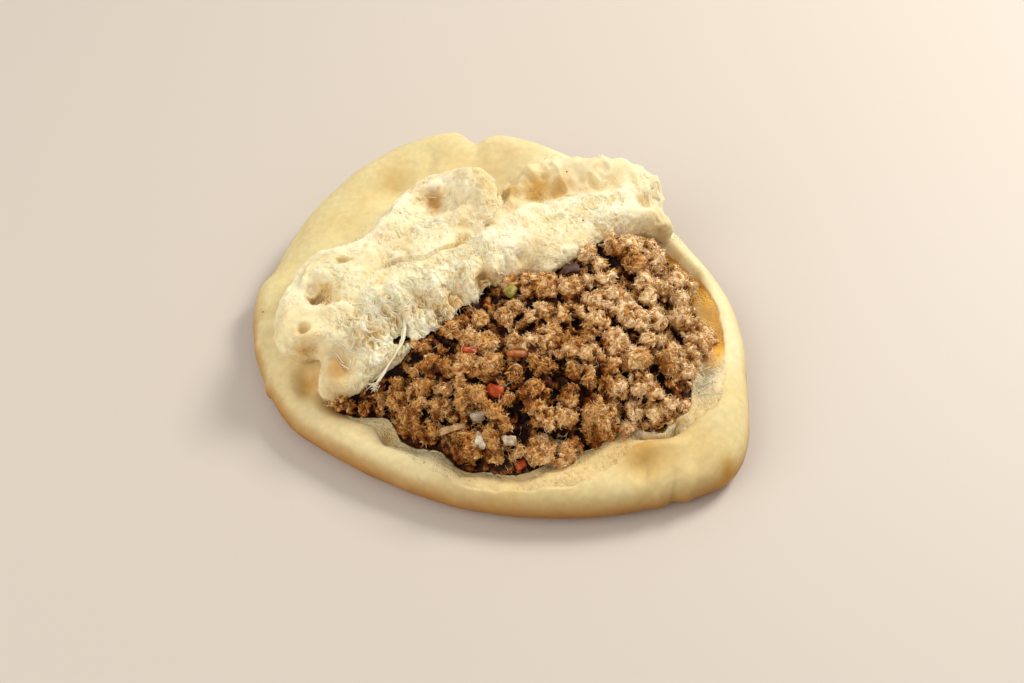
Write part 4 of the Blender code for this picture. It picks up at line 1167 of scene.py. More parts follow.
# Deep dark gaps between the clumps, in millimetres: (x, y, radius).
GAPS = (
    (32.2, 9.2, 2.1), (39.7, 6.8, 3.1), (-3.7, -9, 2.4), (39.6, -17.1, 2.3), (-10.8, -19.6, 2.3),
    (10.4, -20, 3), (26.1, -23.9, 3), (-27.4, -30.6, 2.6), (-35.3, -31.4, 3), (1.5, -34.3, 2.3),
    (35, -35, 2.9), (-36.7, -36.5, 2), (52, -37.5, 2.6), (18.3, -41.6, 3.2), (30, -44.7, 2.9),
    (8.6, -47.1, 2.9), (28.3, -52.4, 2.3), (7.3, -53.7, 2.9), (8.6, -57.3, 2.6),
)

# Shaded hollows where the mince lies lower, in millimetres: (x, y, radius).
HOLLOWS = (
    (8.5, -38, 4.5), (8.3, -46, 5), (8.3, -54, 4), (17, -38, 5), (24, -39, 5.5), (30.1, -42.8, 4.5),
    (25.7, -21.3, 4.5), (27.4, -54.9, 4), (-13, -60.5, 3.5), (-38.7, -31.5, 6), (-20.6, -35.1, 5),
    (-43.6, -37.1, 4.5), (-27.7, -52.9, 4), (41, 11.4, 4.5), (47.5, 9.5, 4), (58.5, -35.9, 4.5),
    (35.2, -35.8, 4), (54.6, -31.1, 4), (32.7, -55, 3),
)
HOLLOW_DEPTH = 1.0 * MM

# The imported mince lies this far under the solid's core, and the clumps' tops this far over it.
CORE_SINK = 2.4 * MM
SURFACE_SWELL = 3.0 * MM

# Away from the eye that looks from the front, along which a clump's middle lies under its top.
VIEW_DOWN = Vector((0.0, 0.630, -0.777))
CLUMP_GROWTH = 1.22
BIG_CLUMP = 4.0 * MM

# The most triangles in one piece, under 200,000.
MOST_TRIANGLES = 190000

# Small clumps between the others: (radius, tries), and the stretch in x and y that they are tried in.
SMALL_CLUMPS = ((2.4 * MM, 900), (1.6 * MM, 1800), (1.1 * MM, 2500))
SMALL_CLUMPS_X = (-0.076, 0.080)
SMALL_CLUMPS_Y = (-0.072, 0.045)

# Clumps along the foot of the rim, in millimetres: (lowest, highest, how far in).
EDGE_ROWS = ((0.0, 2.0, 1.2), (2.0, 4.2, 2.2), (3.0, 5.5, 4.4), (1.0, 3.5, 3.0))

# Fine fish: places for roots, flakes, tufts and their fibres, loose threads, and threads on each piece.
ROOTS = 40000.0
SHREDS = 4800
SHRED_HALF_SIZES = ((0.60, 1.50), (0.20, 0.42), (0.12, 0.26))
TUFTS = 9000
TUFT_FIBRES = 4
STRINGS = 650
STRINGS_PER_PIECE = 26

# A fibre with three sides: two rings of three points and the tip.
FIBRE_POINTS = 7
FIBRE_FACES = np.array([
    (0, 1, 4), (0, 4, 3), (1, 2, 5), (1, 5, 4), (2, 0, 3), (2, 3, 5), (3, 4, 6), (4, 5, 6), (5, 3, 6),
    (2, 1, 0),
])

UP = Vector((0.0, 0.0, 1.0))
RAY_HEIGHT = 0.2


def ball(level):
    """A unit ball's points and triangles."""
    build = bmesh.new()
    bmesh.ops.create_icosphere(build, subdivisions=level, radius=1.0)
    points = np.array([vertex.co for vertex in build.verts])
    triangles = np.array([[vertex.index for vertex in face.verts] for face in build.faces])
    build.free()
    return points, triangles


def turns(random, count):
    """Random rotation matrices."""
    q = random.normal(size=(count, 4))
    q /= np.linalg.norm(q, axis=1)[:, None]
    w, x, y, z = q.T
    rows = [
        1 - 2 * (y * y + z * z), 2 * (x * y - z * w), 2 * (x * z + y * w),
        2 * (x * y + z * w), 1 - 2 * (x * x + z * z), 2 * (y * z - x * w),
        2 * (x * z - y * w), 2 * (y * z + x * w), 1 - 2 * (x * x + y * y),
    ]
    return np.stack(rows, axis=1).reshape(-1, 3, 3)


def scattered(shape, places, sizes, rotations):
    """Copies of one small shape as one array of points and triangles. Sizes are (n, 3)."""
    base, triangles = shape
    local = base[None, :, :] * sizes[:, None, :]
    points = np.einsum("nij,nkj->nki", rotations, local) + places[:, None, :]
    offsets = (np.arange(len(places)) * len(base))[:, None, None]
    faces = (triangles[None, :, :] + offsets).reshape(-1, 3)
    return points.reshape(-1, 3), faces


def unit(vectors):
    return vectors / (np.linalg.norm(vectors, axis=1)[:, None] + 1e-12)


def drop_down(tree, x, y):
    """The highest place of a surface at x and y, and the way it faces."""
    return tree.ray_cast(Vector((x, y, RAY_HEIGHT)), -UP)[:2]


def room_at(tree, place):
    """Distance to the bread's surface, below 0 inside it, and the way out of or away from it."""
    near, _, _, gap = tree.find_nearest(place)
    hit, facing = tree.ray_cast(place, UP)[:2]
    if hit is not None and facing.z > 0.0:
        return -gap, (near - place).normalized()
    return gap, (place - near).normalized()


def chopped_nodes():
    """Name and solid of each chopped piece."""
    return [(name, obj) for name, obj in sorted(frame["nodes"].items()) if name not in ("bread", "filling")]


def box_of(obj):
    """Lowest and highest corner of a solid, in the pie's own frame."""
    points = points_of(obj.data) - np.array(SHIFT)
    return points.min(axis=0), points.max(axis=0)


def chopped_places():
    """Centre and half size of each chopped piece, in the pie's own frame."""
    places = []
    for _, obj in chopped_nodes():
        low, high = box_of(obj)
        places.append((Vector(0.5 * (low + high)), 0.5 * (high - low)))
    return places


def hollow_share(x, y):
    """1 in the middle of a shaded hollow, fading to 0 round it."""
    share = np.zeros_like(x)
    for hx, hy, radius in HOLLOWS:
        share = np.maximum(share, np.exp(-((x / MM - hx) ** 2 + (y / MM - hy) ** 2) / radius**2))
    return share


def clump_layout(core_tree, bread_tree, random):
    """Centres and radii of the clumps: those that show, then small ones between and under them."""
    surface = object_from("mince_surface", core_body(SURFACE_SWELL, 120, 26))
    surface_tree = surface_of(surface)
    chopped = chopped_places()
    found = []
    for x, y, radius in sorted(CLUMPS, key=lambda row: -row[2]):
        hit, _ = drop_down(surface_tree, x * MM, y * MM)
        if hit is None:
            continue
        radius *= CLUMP_GROWTH * MM * (1.0 if radius > 5.0 else random.uniform(0.82, 1.22))
        place = hit + VIEW_DOWN * 0.62 * radius
        for centre, half in chopped:
            away = place - centre
            wanted = 0.52 * radius + 0.75 * min(half[:2])
            if away.length < wanted:
                place = centre + away.normalized() * wanted
        large = [(other, reach) for other, reach in found if reach > BIG_CLUMP]
        if any((place - other).length < 0.72 * (radius + reach) for other, reach in large):
            continue
        room, way_out = room_at(bread_tree, place)
        if room < 0.45 * radius:
            place += way_out * (0.45 * radius - room)
        if radius < BIG_CLUMP:
            place.z -= HOLLOW_DEPTH * hollow_share(np.array([x * MM]), np.array([y * MM]))[0]
        found.append((place, radius))
    bpy.data.objects.remove(surface)
    found += edge_clumps(bread_tree, random)
    for size, tries in SMALL_CLUMPS:
        for _ in range(tries):
            x, y = random.uniform(*SMALL_CLUMPS_X), random.uniform(*SMALL_CLUMPS_Y)
            radius = size * random.uniform(0.8, 1.25)
            if any(math.hypot(x / MM - gx, y / MM - gy) < 0.80 * reach for gx, gy, reach in GAPS):
                continue
            hit, normal = drop_down(core_tree, x, y)
            if hit is None:
                continue
            place = hit + normal * radius * random.uniform(-0.1, 0.5)
            if random.random() < 0.3 * hollow_share(np.array([x]), np.array([y]))[0]:
                continue
            if room_at(bread_tree, place)[0] < 0.6 * radius or is_buried(bread_tree, place):
                continue
            near_piece = any((place - centre).length < 0.5 * (radius + max(half)) for centre, half in chopped)
            if near_piece or any((place - other).length < 0.64 * (radius + reach) for other, reach in found):
                continue
            found.append((place, radius))
    places = np.array([place for place, _ in found])
    radii = np.array([radius for _, radius in found])
    return places, radii


def edge_clumps(bread_tree, random):
    """Small clumps along the foot of the rim, where the mince meets the bread."""
    found = []
    outline = core_outline(0.0)
    for low, high, deep in EDGE_ROWS:
        for x, y in outline:
            if closed_side(np.array([x]), np.array([y]))[0] > 0.2 or random.random() < 0.2:
                continue
            radius = random.uniform(1.2, 2.2) * MM
            share = 1.0 - random.uniform(0.4, 1.6) * deep * MM / math.hypot(x, y)
            height = CORE_EDGE_LEVEL + random.uniform(low, high) * MM
            place = Vector((x * share, y * share, height))
            if room_at(bread_tree, place)[0] > 0.4 * radius:
                found.append((place, radius))
    return found


def is_buried(bread_tree, place):
    """Deep under the folded bread, where nothing can be seen."""
    hit = bread_tree.ray_cast(place, Vector((0.0, -0.60, 0.80)))[0]
    above = bread_tree.ray_cast(place, UP)[0]
    return hit is not None and above is not None


def make_filling(bread):
    random = np.random.default_rng(SEED)
    bread_tree = surface_of(bread)
    core = object_from("herring_core", core_body(-0.1 * MM, 160, 36, CORE_SINK))
    places, radii = clump_layout(surface_of(core), bread_tree, random)
    body, points, normals, painted_light = mince_body(core, places, radii, random)
    roots = open_roots(points, normals, painted_light, bread_tree, random)
    pieces = [body]
    pieces += shreds(roots, random)
    pieces += tufts(roots, random)
    pieces += strings(roots, body, random)
    return pieces


def herring_tint(level, points, shade):
    """Browns of smoked fish: level, mostly painted light and shade, runs from the cracks to the tips, and
    shade, a random tone, moves it a little.
    """
    wide = 0.5 + 0.5 * layered_noise(points, 11.0 * MM, 501, 2)
    level = np.clip(level * (0.82 + 0.32 * wide) + 0.16 * (shade - 0.5), 0.0, 1.0)
    colours = mixed(HERRING_DEEP, HERRING_DARK, smooth_step(0.02, 0.22, level))
    colours = mixed(colours, HERRING_BROWN, smooth_step(0.18, 0.46, level))
    colours = mixed(colours, HERRING_TAN, smooth_step(0.42, 0.72, level))
    return mixed(colours, HERRING_PALE, smooth_step(0.70, 0.98, level))


def lumpy(shape, random, roughness):
    """The shape with its points pushed in and out at random, so that it is angular."""
    points, faces = shape
    return points * (1.0 + roughness * random.normal(size=len(points)).clip(-1.6, 1.6))[:, None], faces


def around(places, radii, number, reach, random):
    """Places on the surfaces of balls, and the ball that each belongs to."""
    owners = np.repeat(np.arange(len(places)), number)
    way = random.normal(size=(len(owners), 3))
    way[:, 2] = np.abs(way[:, 2]) * 1.2 - 0.45
    way = unit(way)
    return places[owners] + way * (radii[owners] * random.uniform(*reach, len(owners)))[:, None], owners


def cleared(points):
    """The mince pressed down where it would cover a piece of pepper that lies open on it."""
    down = np.array(VIEW_DOWN)
    for name in ("red_pepper_large", "red_pepper_front", "green_pepper"):
        low, high = box_of(frame["nodes"][name])
        away = points - 0.5 * (low + high)
        height = -(away @ down)
        aside = np.linalg.norm(away + height[:, None] * down, axis=1)
        reach = 0.25 * (high - low)[:2].sum()
        sunk = smooth_step(1.5 * reach, 0.9 * reach, aside) * np.clip(height + 0.3 * reach, 0.0, 6.0 * MM)
        points = points + sunk[:, None] * down
    return points


def clump_shells(places, radii, random):
    """The clumps as shells in one object: hearts, lobes on them and crumbs on those."""
    heart_radii = np.where(radii > BIG_CLUMP, 0.92, 0.78) * radii
    lobes, lobe_owners = around(places, radii, random.integers(6, 11, len(places)), (0.50, 0.92), random)
    lobe_radii = radii[lobe_owners] * random.uniform(0.22, 0.50, len(lobes))
    lobe_radii = np.where(radii[lobe_owners] > BIG_CLUMP, 0.14 * radii[lobe_owners], lobe_radii)
    crumb_counts = (2.4 * (radii / MM) ** 1.6).astype(int)
    crumbs, crumb_owners = around(places, radii, crumb_counts, (0.70, 1.06), random)
    crumb_radii = random.uniform(0.30, 0.75, len(crumbs)) * MM
    crumb_radii *= np.where(radii[crumb_owners] > BIG_CLUMP, 0.75, 1.0)
    parts, offset, points = [], 0, []
    for centres, sizes, level, roughness, low, high in (
        (places, heart_radii, 3, 0.0, 0.66, 1.42),
        (lobes, lobe_radii, 3, 0.0, 0.6, 1.5),
        (crumbs, crumb_radii, 2, 0.25, 0.5, 1.9),
    ):
        for group in range(4):
            chosen = np.arange(group, len(centres), 4)
            stretched = sizes[chosen, None] * random.uniform(low, high, (len(chosen), 3))
            shape = lumpy(ball(level), random, roughness)
            spots, faces = scattered(shape, centres[chosen], stretched, turns(random, len(chosen)))
            outward = spots - np.repeat(centres[chosen], len(shape[0]), axis=0)
            swell = 0.4 * outward * layered_noise(spots, 2.0 * MM, 561, 2)[:, None]
            points.append(spots + swell + 1.2 * MM * drift(spots, 3.0 * MM, (581, 585, 589), 2))
            parts.append(faces + offset)
            offset += len(spots)
    return mesh_from_arrays("hearts", np.vstack(points), np.vstack(parts))


def mince_painted_light(points, normals, edges, grain):
    """Painted light and shade of the mince: dark in its cracks and hollows, light on the clumps that stand
    proud.
    """
    near = relaxed(points, edges, np.ones(len(points)), 10)
    wide = relaxed(near, edges, np.ones(len(points)), 130)
    near_rise = np.sum((points - near) * normals, axis=1)
    wide_rise = np.sum((points - wide) * normals, axis=1) + 0.6 * (points[:, 2] - wide[:, 2])
    lit = 0.24 * smooth_step(-0.30 * MM, 0.35 * MM, near_rise)
    lit += 0.46 * smooth_step(-1.3 * MM, 1.5 * MM, wide_rise)
    x, y, z = points.T
    inset = border_reach(x, y) - swells(bearing_of(x, y), WALL, WALL_SWELLS) - np.hypot(x, y)
    level = CORE_EDGE_LEVEL + CORE_CROWN * smooth_step(*CORE_SHOULDER, inset)
    lit += 0.30 * smooth_step(-2.2 * MM, 2.6 * MM, z - level)
    # Painted shade in the listed hollows, and painted light that grows towards the right and the back.
    lit *= (1.0 - 0.36 * hollow_share(x, y)) * (0.86 + 0.18 * smooth_step(-0.03, 0.04, x + 0.5 * y))
    return np.clip(0.05 + 0.94 * lit**1.68 + 0.06 * grain, 0.0, 1.0)


def mince_body(core, places, radii, random):
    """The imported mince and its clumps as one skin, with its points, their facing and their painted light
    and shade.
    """
    body = object_from("herring_mince", join([core, clump_shells(places, radii, random)]))
    bpy.context.view_layer.update()
    with_modifier(body, "REMESH", mode="VOXEL", voxel_size=MINCE_VOXEL)
    mesh = body.data
    points, normals = points_of(mesh), normals_of(mesh)
    ridged = 1.0 - np.abs(layered_noise(points, 1.3 * MM, 541, 2))
    grain = soft_noise(points, 0.7 * MM, 551)
    push = MM * (0.35 * (ridged**3 - 0.4) + 0.18 * grain)
    points = cleared(points + normals * push[:, None])
    set_points(mesh, points)
    normals = normals_of(mesh)
    painted_light = mince_painted_light(points, normals, edges_of(mesh), grain)
    shade = 0.5 + 0.5 * layered_noise(points, 4.0 * MM, 571, 2)
    paint(mesh, "tint", herring_tint(painted_light, points, shade))
    with_modifier(body, "DECIMATE", ratio=MINCE_KEPT)
    body.data.shade_smooth()
    return body, points, normals, painted_light


def open_roots(points, normals, painted_light, bread_tree, random):
    """Spots on the mince that can be seen from above or the front, thicker where the clumps stand proud."""
    weight = smooth_step(0.16, 0.60, painted_light) * smooth_step(-0.5, 0.1, normals[:, 2])
    weight *= points[:, 2] > CORE_EDGE_LEVEL
    picked = np.nonzero(random.random(len(points)) < weight * ROOTS / weight.sum())[0]
    raised = points + 0.3 * MM * normals
    kept = [index for index in picked if not is_buried(bread_tree, Vector(raised[index]))]
    kept = np.array(random.permutation(kept))
    return points[kept], normals[kept], painted_light[kept]


def coloured_pieces(name, points, faces, colours, per_points, per_faces):
    """The scattered array cut into pieces of fewer than 200,000 triangles."""
    pieces = []
    limit = MOST_TRIANGLES // per_faces
    for number, start in enumerate(range(0, len(faces) // per_faces, limit)):
        stop = min(len(faces) // per_faces, start + limit)
        rows = slice(start * per_points, stop * per_points)
        own = faces[start * per_faces : stop * per_faces] - start * per_points
        piece = mesh_from_arrays(f"{name}_{number + 1}", points[rows], own)
        paint(piece.data, "tint", colours[rows])
        pieces.append(piece)
    return pieces


def shreds(roots, random):
    """Small angular flakes of fish that stick out of the clumps."""
    points, normals, painted_light = roots
    chosen = random.integers(0, len(points), SHREDS)
    places, facing, level = points[chosen], normals[chosen], painted_light[chosen]
    shape = lumpy(ball(1), random, 0.25)
    across = np.cross(facing, random.normal(size=(SHREDS, 3)))
    along = unit(across + 0.5 * facing * random.random((SHREDS, 1)))
    side = unit(np.cross(facing, along))
    rotations = np.stack([along, side, np.cross(along, side)], axis=2)
    sizes = np.stack([random.uniform(*span, SHREDS) for span in SHRED_HALF_SIZES], axis=1) * MM
    places = places + facing * random.uniform(0.0, 0.35, (SHREDS, 1)) * MM
    spots, faces = scattered(shape, places, sizes, rotations)
    per = len(shape[0])
    spots += 0.16 * MM * drift(spots, 0.8 * MM, (711, 721, 731))
    # Each flake takes the painted light and shade of its root, and some more at random.
    own = np.repeat(0.66 * level + random.uniform(0.05, 0.42, SHREDS), per)
    colours = herring_tint(np.clip(own, 0.0, 1.0), spots, np.repeat(random.random(SHREDS), per))
    return coloured_pieces("herring_shreds", spots, faces, colours, per, len(shape[1]))


def tufts(roots, random):
    """Fine short muscle fibres that fan out of the clumps in small tufts."""
    points, normals, painted_light = roots
    chosen = random.integers(0, len(points), TUFTS)
    across = np.cross(normals[chosen], random.normal(size=(TUFTS, 3)))
    lean = unit(across + normals[chosen] * random.uniform(0.1, 1.5, (TUFTS, 1)))
    count = TUFTS * TUFT_FIBRES
    facing = np.repeat(normals[chosen], TUFT_FIBRES, axis=0)
    way = unit(np.repeat(lean, TUFT_FIBRES, axis=0) + 0.45 * random.normal(size=(count, 3)))
    length = np.repeat(random.uniform(0.6, 1.9, TUFTS) * MM, TUFT_FIBRES) * random.uniform(0.6, 1.2, count)
    root = np.repeat(points[chosen], TUFT_FIBRES, axis=0) + random.normal(size=(count, 3)) * 0.22 * MM
    root -= facing * 0.10 * MM
    later = unit(way + 0.60 * random.normal(size=(count, 3)) - 0.15 * facing)
    middle = root + way * (0.5 * length)[:, None]
    tip = middle + later * (0.5 * length)[:, None]
    side = unit(np.cross(way, random.normal(size=(count, 3))))
    other = np.cross(way, side)
    width = random.uniform(0.08, 0.15, count) * MM
    rows = []
    for place, share in ((root, 1.0), (middle, 0.85)):
        for corner in range(3):
            turn = 2.0 * math.pi * corner / 3.0
            rows.append(place + (share * width)[:, None] * (side * math.cos(turn) + other * math.sin(turn)))
    rows.append(tip)
    spots = np.stack(rows, axis=1).reshape(-1, 3)
    faces = (FIBRE_FACES[None] + (FIBRE_POINTS * np.arange(count))[:, None, None]).reshape(-1, 3)
    # Each tuft takes the painted light and shade of its root, and its fibres are lighter towards the tip.
    base = np.repeat(0.62 * painted_light[chosen] + random.uniform(-0.02, 0.36, TUFTS), TUFT_FIBRES)
    base += random.uniform(-0.08, 0.20, count)
    level = np.repeat(base, FIBRE_POINTS) + np.tile((0.0, 0.0, 0.0, 0.14, 0.14, 0.14, 0.30), count)
    shade = np.repeat(random.random(TUFTS), TUFT_FIBRES * FIBRE_POINTS)
    colours = herring_tint(np.clip(level, 0.0, 1.0), spots, shade)
    return coloured_pieces("herring_fibres", spots, faces, colours, FIBRE_POINTS, len(FIBRE_FACES))


def covered_tree(body):
    """The mince's skin together with the chopped pieces, to lay threads over."""
    parts, faces, offset = [], [], 0
    meshes = [(body.data, np.zeros(3))]
    meshes += [(obj.data, np.array(SHIFT)) for _, obj in chopped_nodes()]
    for mesh, shift in meshes:
        points = points_of(mesh) - shift
        parts.append(points)
        faces += [tuple(offset + corner for corner in polygon.vertices) for polygon in mesh.polygons]
        offset += len(points)
    return BVHTree.FromPolygons(np.vstack(parts).tolist(), faces)


def strings(roots, body, random):
    """Longer threads of fish that lie over the clumps, the chopped pieces and round the large clump."""
    tree = covered_tree(body)
    points, normals, painted_light = roots
    starts = list(random.integers(0, len(points), STRINGS))
    for centre, half in chopped_places():
        gaps = np.linalg.norm(points - np.array(centre), axis=1)
        starts += list(np.argsort(gaps)[:80][random.integers(0, 80, STRINGS_PER_PIECE)])
    paths, radii, levels = [], [], []
    for index in starts:
        place, facing = Vector(points[index]), Vector(normals[index])
        way = facing.cross(Vector(random.normal(size=3))).normalized()
        path = []
        for step in range(random.integers(5, 12)):
            near, normal, _, gap = tree.find_nearest(place)
            lift = 0.10 * MM + 0.10 * MM * random.random()
            if (place - near).dot(normal) < lift:
                place = near + normal * lift
            path.append(place.copy())
            way = (way + 0.28 * Vector(random.normal(size=3)) - 0.30 * normal).normalized()
            place = place + way * 0.62 * MM
        width = random.uniform(0.07, 0.13) * MM
        paths.append(np.array([tuple(spot) for spot in path]))
        radii.append(width * np.linspace(1.1, 0.6, len(path)))
        levels += [min(1.0, 0.35 + 0.5 * painted_light[index] + random.uniform(0.0, 0.4))] * (3 * len(path))
    spots, faces = tubes(paths, radii, 3)
    piece = mesh_from_arrays("herring_threads", spots, faces)
    paint(piece.data, "tint", herring_tint(np.array(levels), spots, np.full(len(spots), 0.5)))
    return [piece]


# Materials

# Sizes of their patterns: the crumb's grain, the crust's speckles, the sway of the cells, wide and small
# cells, patches with open cells, the mince's grain, and patches on the chopped pieces.
CRUMB_GRAIN = 0.7143 * MM
CRUST_SPECKLES = 2.381 * MM
SWAY_SIZE = 3.846 * MM
SWAY_REACH = 2.2 * MM
WIDE_CELLS = 2.083 * MM
SMALL_CELLS = 1.0526 * MM
OPEN_PATCHES = 6.667 * MM
MINCE_GRAIN = 0.5556 * MM
CHOPPED_PATCHES = 2.0 * MM

# What the floor of a cell keeps of each of red, green and blue: painted shade, darker and more golden.
CELL_FLOOR_SHADE = (0.84, 0.68, 0.42)


def per_metre(size):
    """How often a pattern of this size comes in a metre, which is what a texture's scale counts."""
    return round(1.0 / size)


def node(tree, kind, settings=None, links=None):
    """Adds a shader node, sets its fields and inputs, and links inputs to sockets or nodes' first outputs."""
    made = tree.nodes.new("ShaderNode" + kind)
    for name, value in (settings or {}).items():
        if isinstance(name, str) and hasattr(made, name):
            setattr(made, name, value)
        else:
            made.inputs[name].default_value = value
    for name, source in (links or {}).items():
        tree.links.new(source.outputs[0] if isinstance(source, bpy.types.Node) else source, made.inputs[name])
    return made


def new_material(name):
    made = bpy.data.materials.new(name)
    made.use_nodes = True
    made.node_tree.nodes.clear()
    return made, made.node_tree


def bread_material():
    """Soft wheat dough baked pale: matt crust, and crumb with a net of thin walls that lets light in."""
    made, tree = new_material("baked_wheat_dough")
    place = node(tree, "TexCoord").outputs["Object"]
    tint = node(tree, "Attribute", {"attribute_name": "tint"})
    crumb = node(tree, "Attribute", {"attribute_name": "crumb"}).outputs["Fac"]
    net = node(tree, "Attribute", {"attribute_name": "net"}).outputs["Fac"]
    grain = {"Scale": per_metre(CRUMB_GRAIN), "Detail": 4.0, "Roughness": 0.6}
    fine = node(tree, "TexNoise", grain, {"Vector": place})
    speck = node(tree, "TexNoise", {"Scale": per_metre(CRUST_SPECKLES), "Detail": 3.0}, {"Vector": place})

    # Cells of torn crumb, drawn out across the fold: wide ones in the net, small ones elsewhere, with painted
    # shade on their floors.
    sway = node(tree, "TexNoise", {"Scale": per_metre(SWAY_SIZE), "Detail": 2.0}, {"Vector": place})
    shift = {"operation": "MULTIPLY_ADD", 1: (SWAY_REACH,) * 3, 2: (-0.5 * SWAY_REACH,) * 3}
    aside = node(tree, "VectorMath", shift, {0: sway.outputs["Color"]})
    swayed_place = node(tree, "VectorMath", {"operation": "ADD"}, {0: place, 1: aside})
    across = {"Rotation": (0.0, 0.0, -FOLD_BEARING), "Scale": (1.0, 0.5, 0.7)}
    drawn = node(tree, "Mapping", across, {"Vector": swayed_place})
    cells = {"feature": "DISTANCE_TO_EDGE"}
    wide_cells = node(tree, "TexVoronoi", {**cells, "Scale": per_metre(WIDE_CELLS)}, {"Vector": drawn})
    small = {**cells, "Scale": per_metre(SMALL_CELLS)}
    small_cells = node(tree, "TexVoronoi", small, {"Vector": swayed_place})
    wide_floor = node(tree, "MapRange", {"From Min": 0.02, "From Max": 0.22}, {"Value": wide_cells})
    low_floor = {"From Min": 0.03, "From Max": 0.30, "To Max": 0.4}
    small_floor = node(tree, "MapRange", low_floor, {"Value": small_cells})
    cell = node(tree, "Mix", {"data_type": "FLOAT"}, {0: net, 2: small_floor, 3: wide_floor})
    patches = node(tree, "TexNoise", {"Scale": per_metre(OPEN_PATCHES), "Detail": 2.0}, {"Vector": place})
    open_cells = node(tree, "MapRange", {"From Min": 0.40, "From Max": 0.58}, {"Value": patches})
    depth = node(tree, "Math", {"operation": "MULTIPLY"}, {0: cell, 1: open_cells})
    floor = node(tree, "Math", {"operation": "MULTIPLY"}, {0: depth, 1: crumb})
    floor_shade = node(tree, "VectorMath", {"operation": "MULTIPLY", 1: CELL_FLOOR_SHADE}, {0: tint})
    strength = node(tree, "MapRange", {"To Min": 0.6, "To Max": 0.95}, {"Value": net})
    share = node(tree, "Math", {"operation": "MULTIPLY"}, {0: floor, 1: strength})
    celled = node(tree, "Mix", {"data_type": "RGBA"}, {0: share, 6: tint, 7: floor_shade})

    speckled = {"From Min": 0.35, "From Max": 0.7, "To Min": 0.93, "To Max": 1.05}
    level = node(tree, "MapRange", speckled, {"Value": speck})
    colour = node(tree, "VectorMath", {"operation": "SCALE"}, {0: celled.outputs[2], "Scale": level})
    fine_depth = node(tree, "MapRange", {"To Min": 0.15, "To Max": 0.45}, {"Value": crumb})
    fine_bump = node(tree, "Bump", {"Distance": 0.25 * MM}, {"Height": fine, "Strength": fine_depth})
    sunk = node(tree, "Math", {"operation": "MULTIPLY", 1: -1.0}, {0: floor})
    low_cells = {"Height": sunk, "Normal": fine_bump}
    cell_bump = node(tree, "Bump", {"Distance": 0.7 * MM, "Strength": 0.9}, low_cells)
    rough = node(tree, "MapRange", {"To Min": 0.62, "To Max": 0.85}, {"Value": crumb})
    shader = node(tree, "BsdfPrincipled", {
        "Subsurface Weight": 0.40, "Subsurface Scale": 1.6 * MM, "Subsurface Radius": (1.0, 0.65, 0.35),
        "IOR": 1.45, "Specular IOR Level": 0.3,
    }, {"Base Color": colour, "Roughness": rough, "Normal": cell_bump})
    node(tree, "OutputMaterial", links={"Surface": shader})
    return made


def thread_material():
    """Thin dry threads of the same dough."""
    made, tree = new_material("drawn_out_dough_threads")
    tint = node(tree, "Attribute", {"attribute_name": "tint"})
    shader = node(tree, "BsdfPrincipled", {"Roughness": 0.7, "Specular IOR Level": 0.3}, {"Base Color": tint})
    node(tree, "OutputMaterial", links={"Surface": shader})
    return made


def herring_material():
    """Minced smoked herring: moist, oily flakes with a soft shine."""
    made, tree = new_material("minced_smoked_herring")
    place = node(tree, "TexCoord").outputs["Object"]
    tint = node(tree, "Attribute", {"attribute_name": "tint"})
    grain = {"Scale": per_metre(MINCE_GRAIN), "Detail": 3.0, "Roughness": 0.6}
    fine = node(tree, "TexNoise", grain, {"Vector": place})
    flecked = {"From Min": 0.3, "From Max": 0.7, "To Min": 0.78, "To Max": 1.15}
    level = node(tree, "MapRange", flecked, {"Value": fine})
    colour = node(tree, "VectorMath", {"operation": "SCALE"}, {0: tint, "Scale": level})
    fine_bump = node(tree, "Bump", {"Distance": 0.3 * MM, "Strength": 0.6}, {"Height": fine})
    shader = node(tree, "BsdfPrincipled", {
        "Roughness": 0.50, "Subsurface Weight": 0.12, "Subsurface Scale": 1.0 * MM,
        "Subsurface Radius": (1.0, 0.5, 0.25), "IOR": 1.45, "Specular IOR Level": 0.20,
    }, {"Base Color": colour, "Normal": fine_bump})
    node(tree, "OutputMaterial", links={"Surface": shader})
    return made


def moist_material(name, dark, light, roughness, see_in):
    """Cooked vegetable or fish skin: a wet skin over flesh that lets light in."""
    made, tree = new_material(name)
    place = node(tree, "TexCoord").outputs["Object"]
    patches = node(tree, "TexNoise", {"Scale": per_metre(CHOPPED_PATCHES), "Detail": 3.0}, {"Vector": place})
    share = node(tree, "MapRange", {"From Min": 0.35, "From Max": 0.65}, {"Value": patches})
    tones = {"data_type": "RGBA", 6: (*linear(dark), 1.0), 7: (*linear(light), 1.0)}
    colour = node(tree, "Mix", tones, {0: share})
    fine_bump = node(tree, "Bump", {"Distance": 0.2 * MM, "Strength": 0.4}, {"Height": patches})
    shader = node(tree, "BsdfPrincipled", {
        "Roughness": roughness, "Subsurface Weight": see_in, "Subsurface Scale": 1.5 * MM, "IOR": 1.42,
        "Specular IOR Level": 0.35,
    }, {"Base Color": colour.outputs[2], "Normal": fine_bump})
    node(tree, "OutputMaterial", links={"Surface": shader})
    return made


# Material, darker and lighter colour, roughness and how far light goes in, for each chopped food.
CHOPPED_LOOKS = {
    "red_pepper": ("cooked_red_pepper", "#8E2C0C", "#CE5E26", 0.30, 0.3),
    "carrot": ("grated_carrot", "#8A4418", "#BE7036", 0.42, 0.3),
    "onion": ("cooked_onion", "#94785A", "#D6C8B2", 0.26, 0.6),
    "green_pepper": ("cooked_green_pepper", "#6A6020", "#A08E3C", 0.36, 0.3),
    "dark_skin": ("smoked_fish_skin", "#2A150E", "#5A3C30", 0.60, 0.0),
    "fish_flake": ("pale_fish_flake", "#B08450", "#E2BF8C", 0.50, 0.3),
}


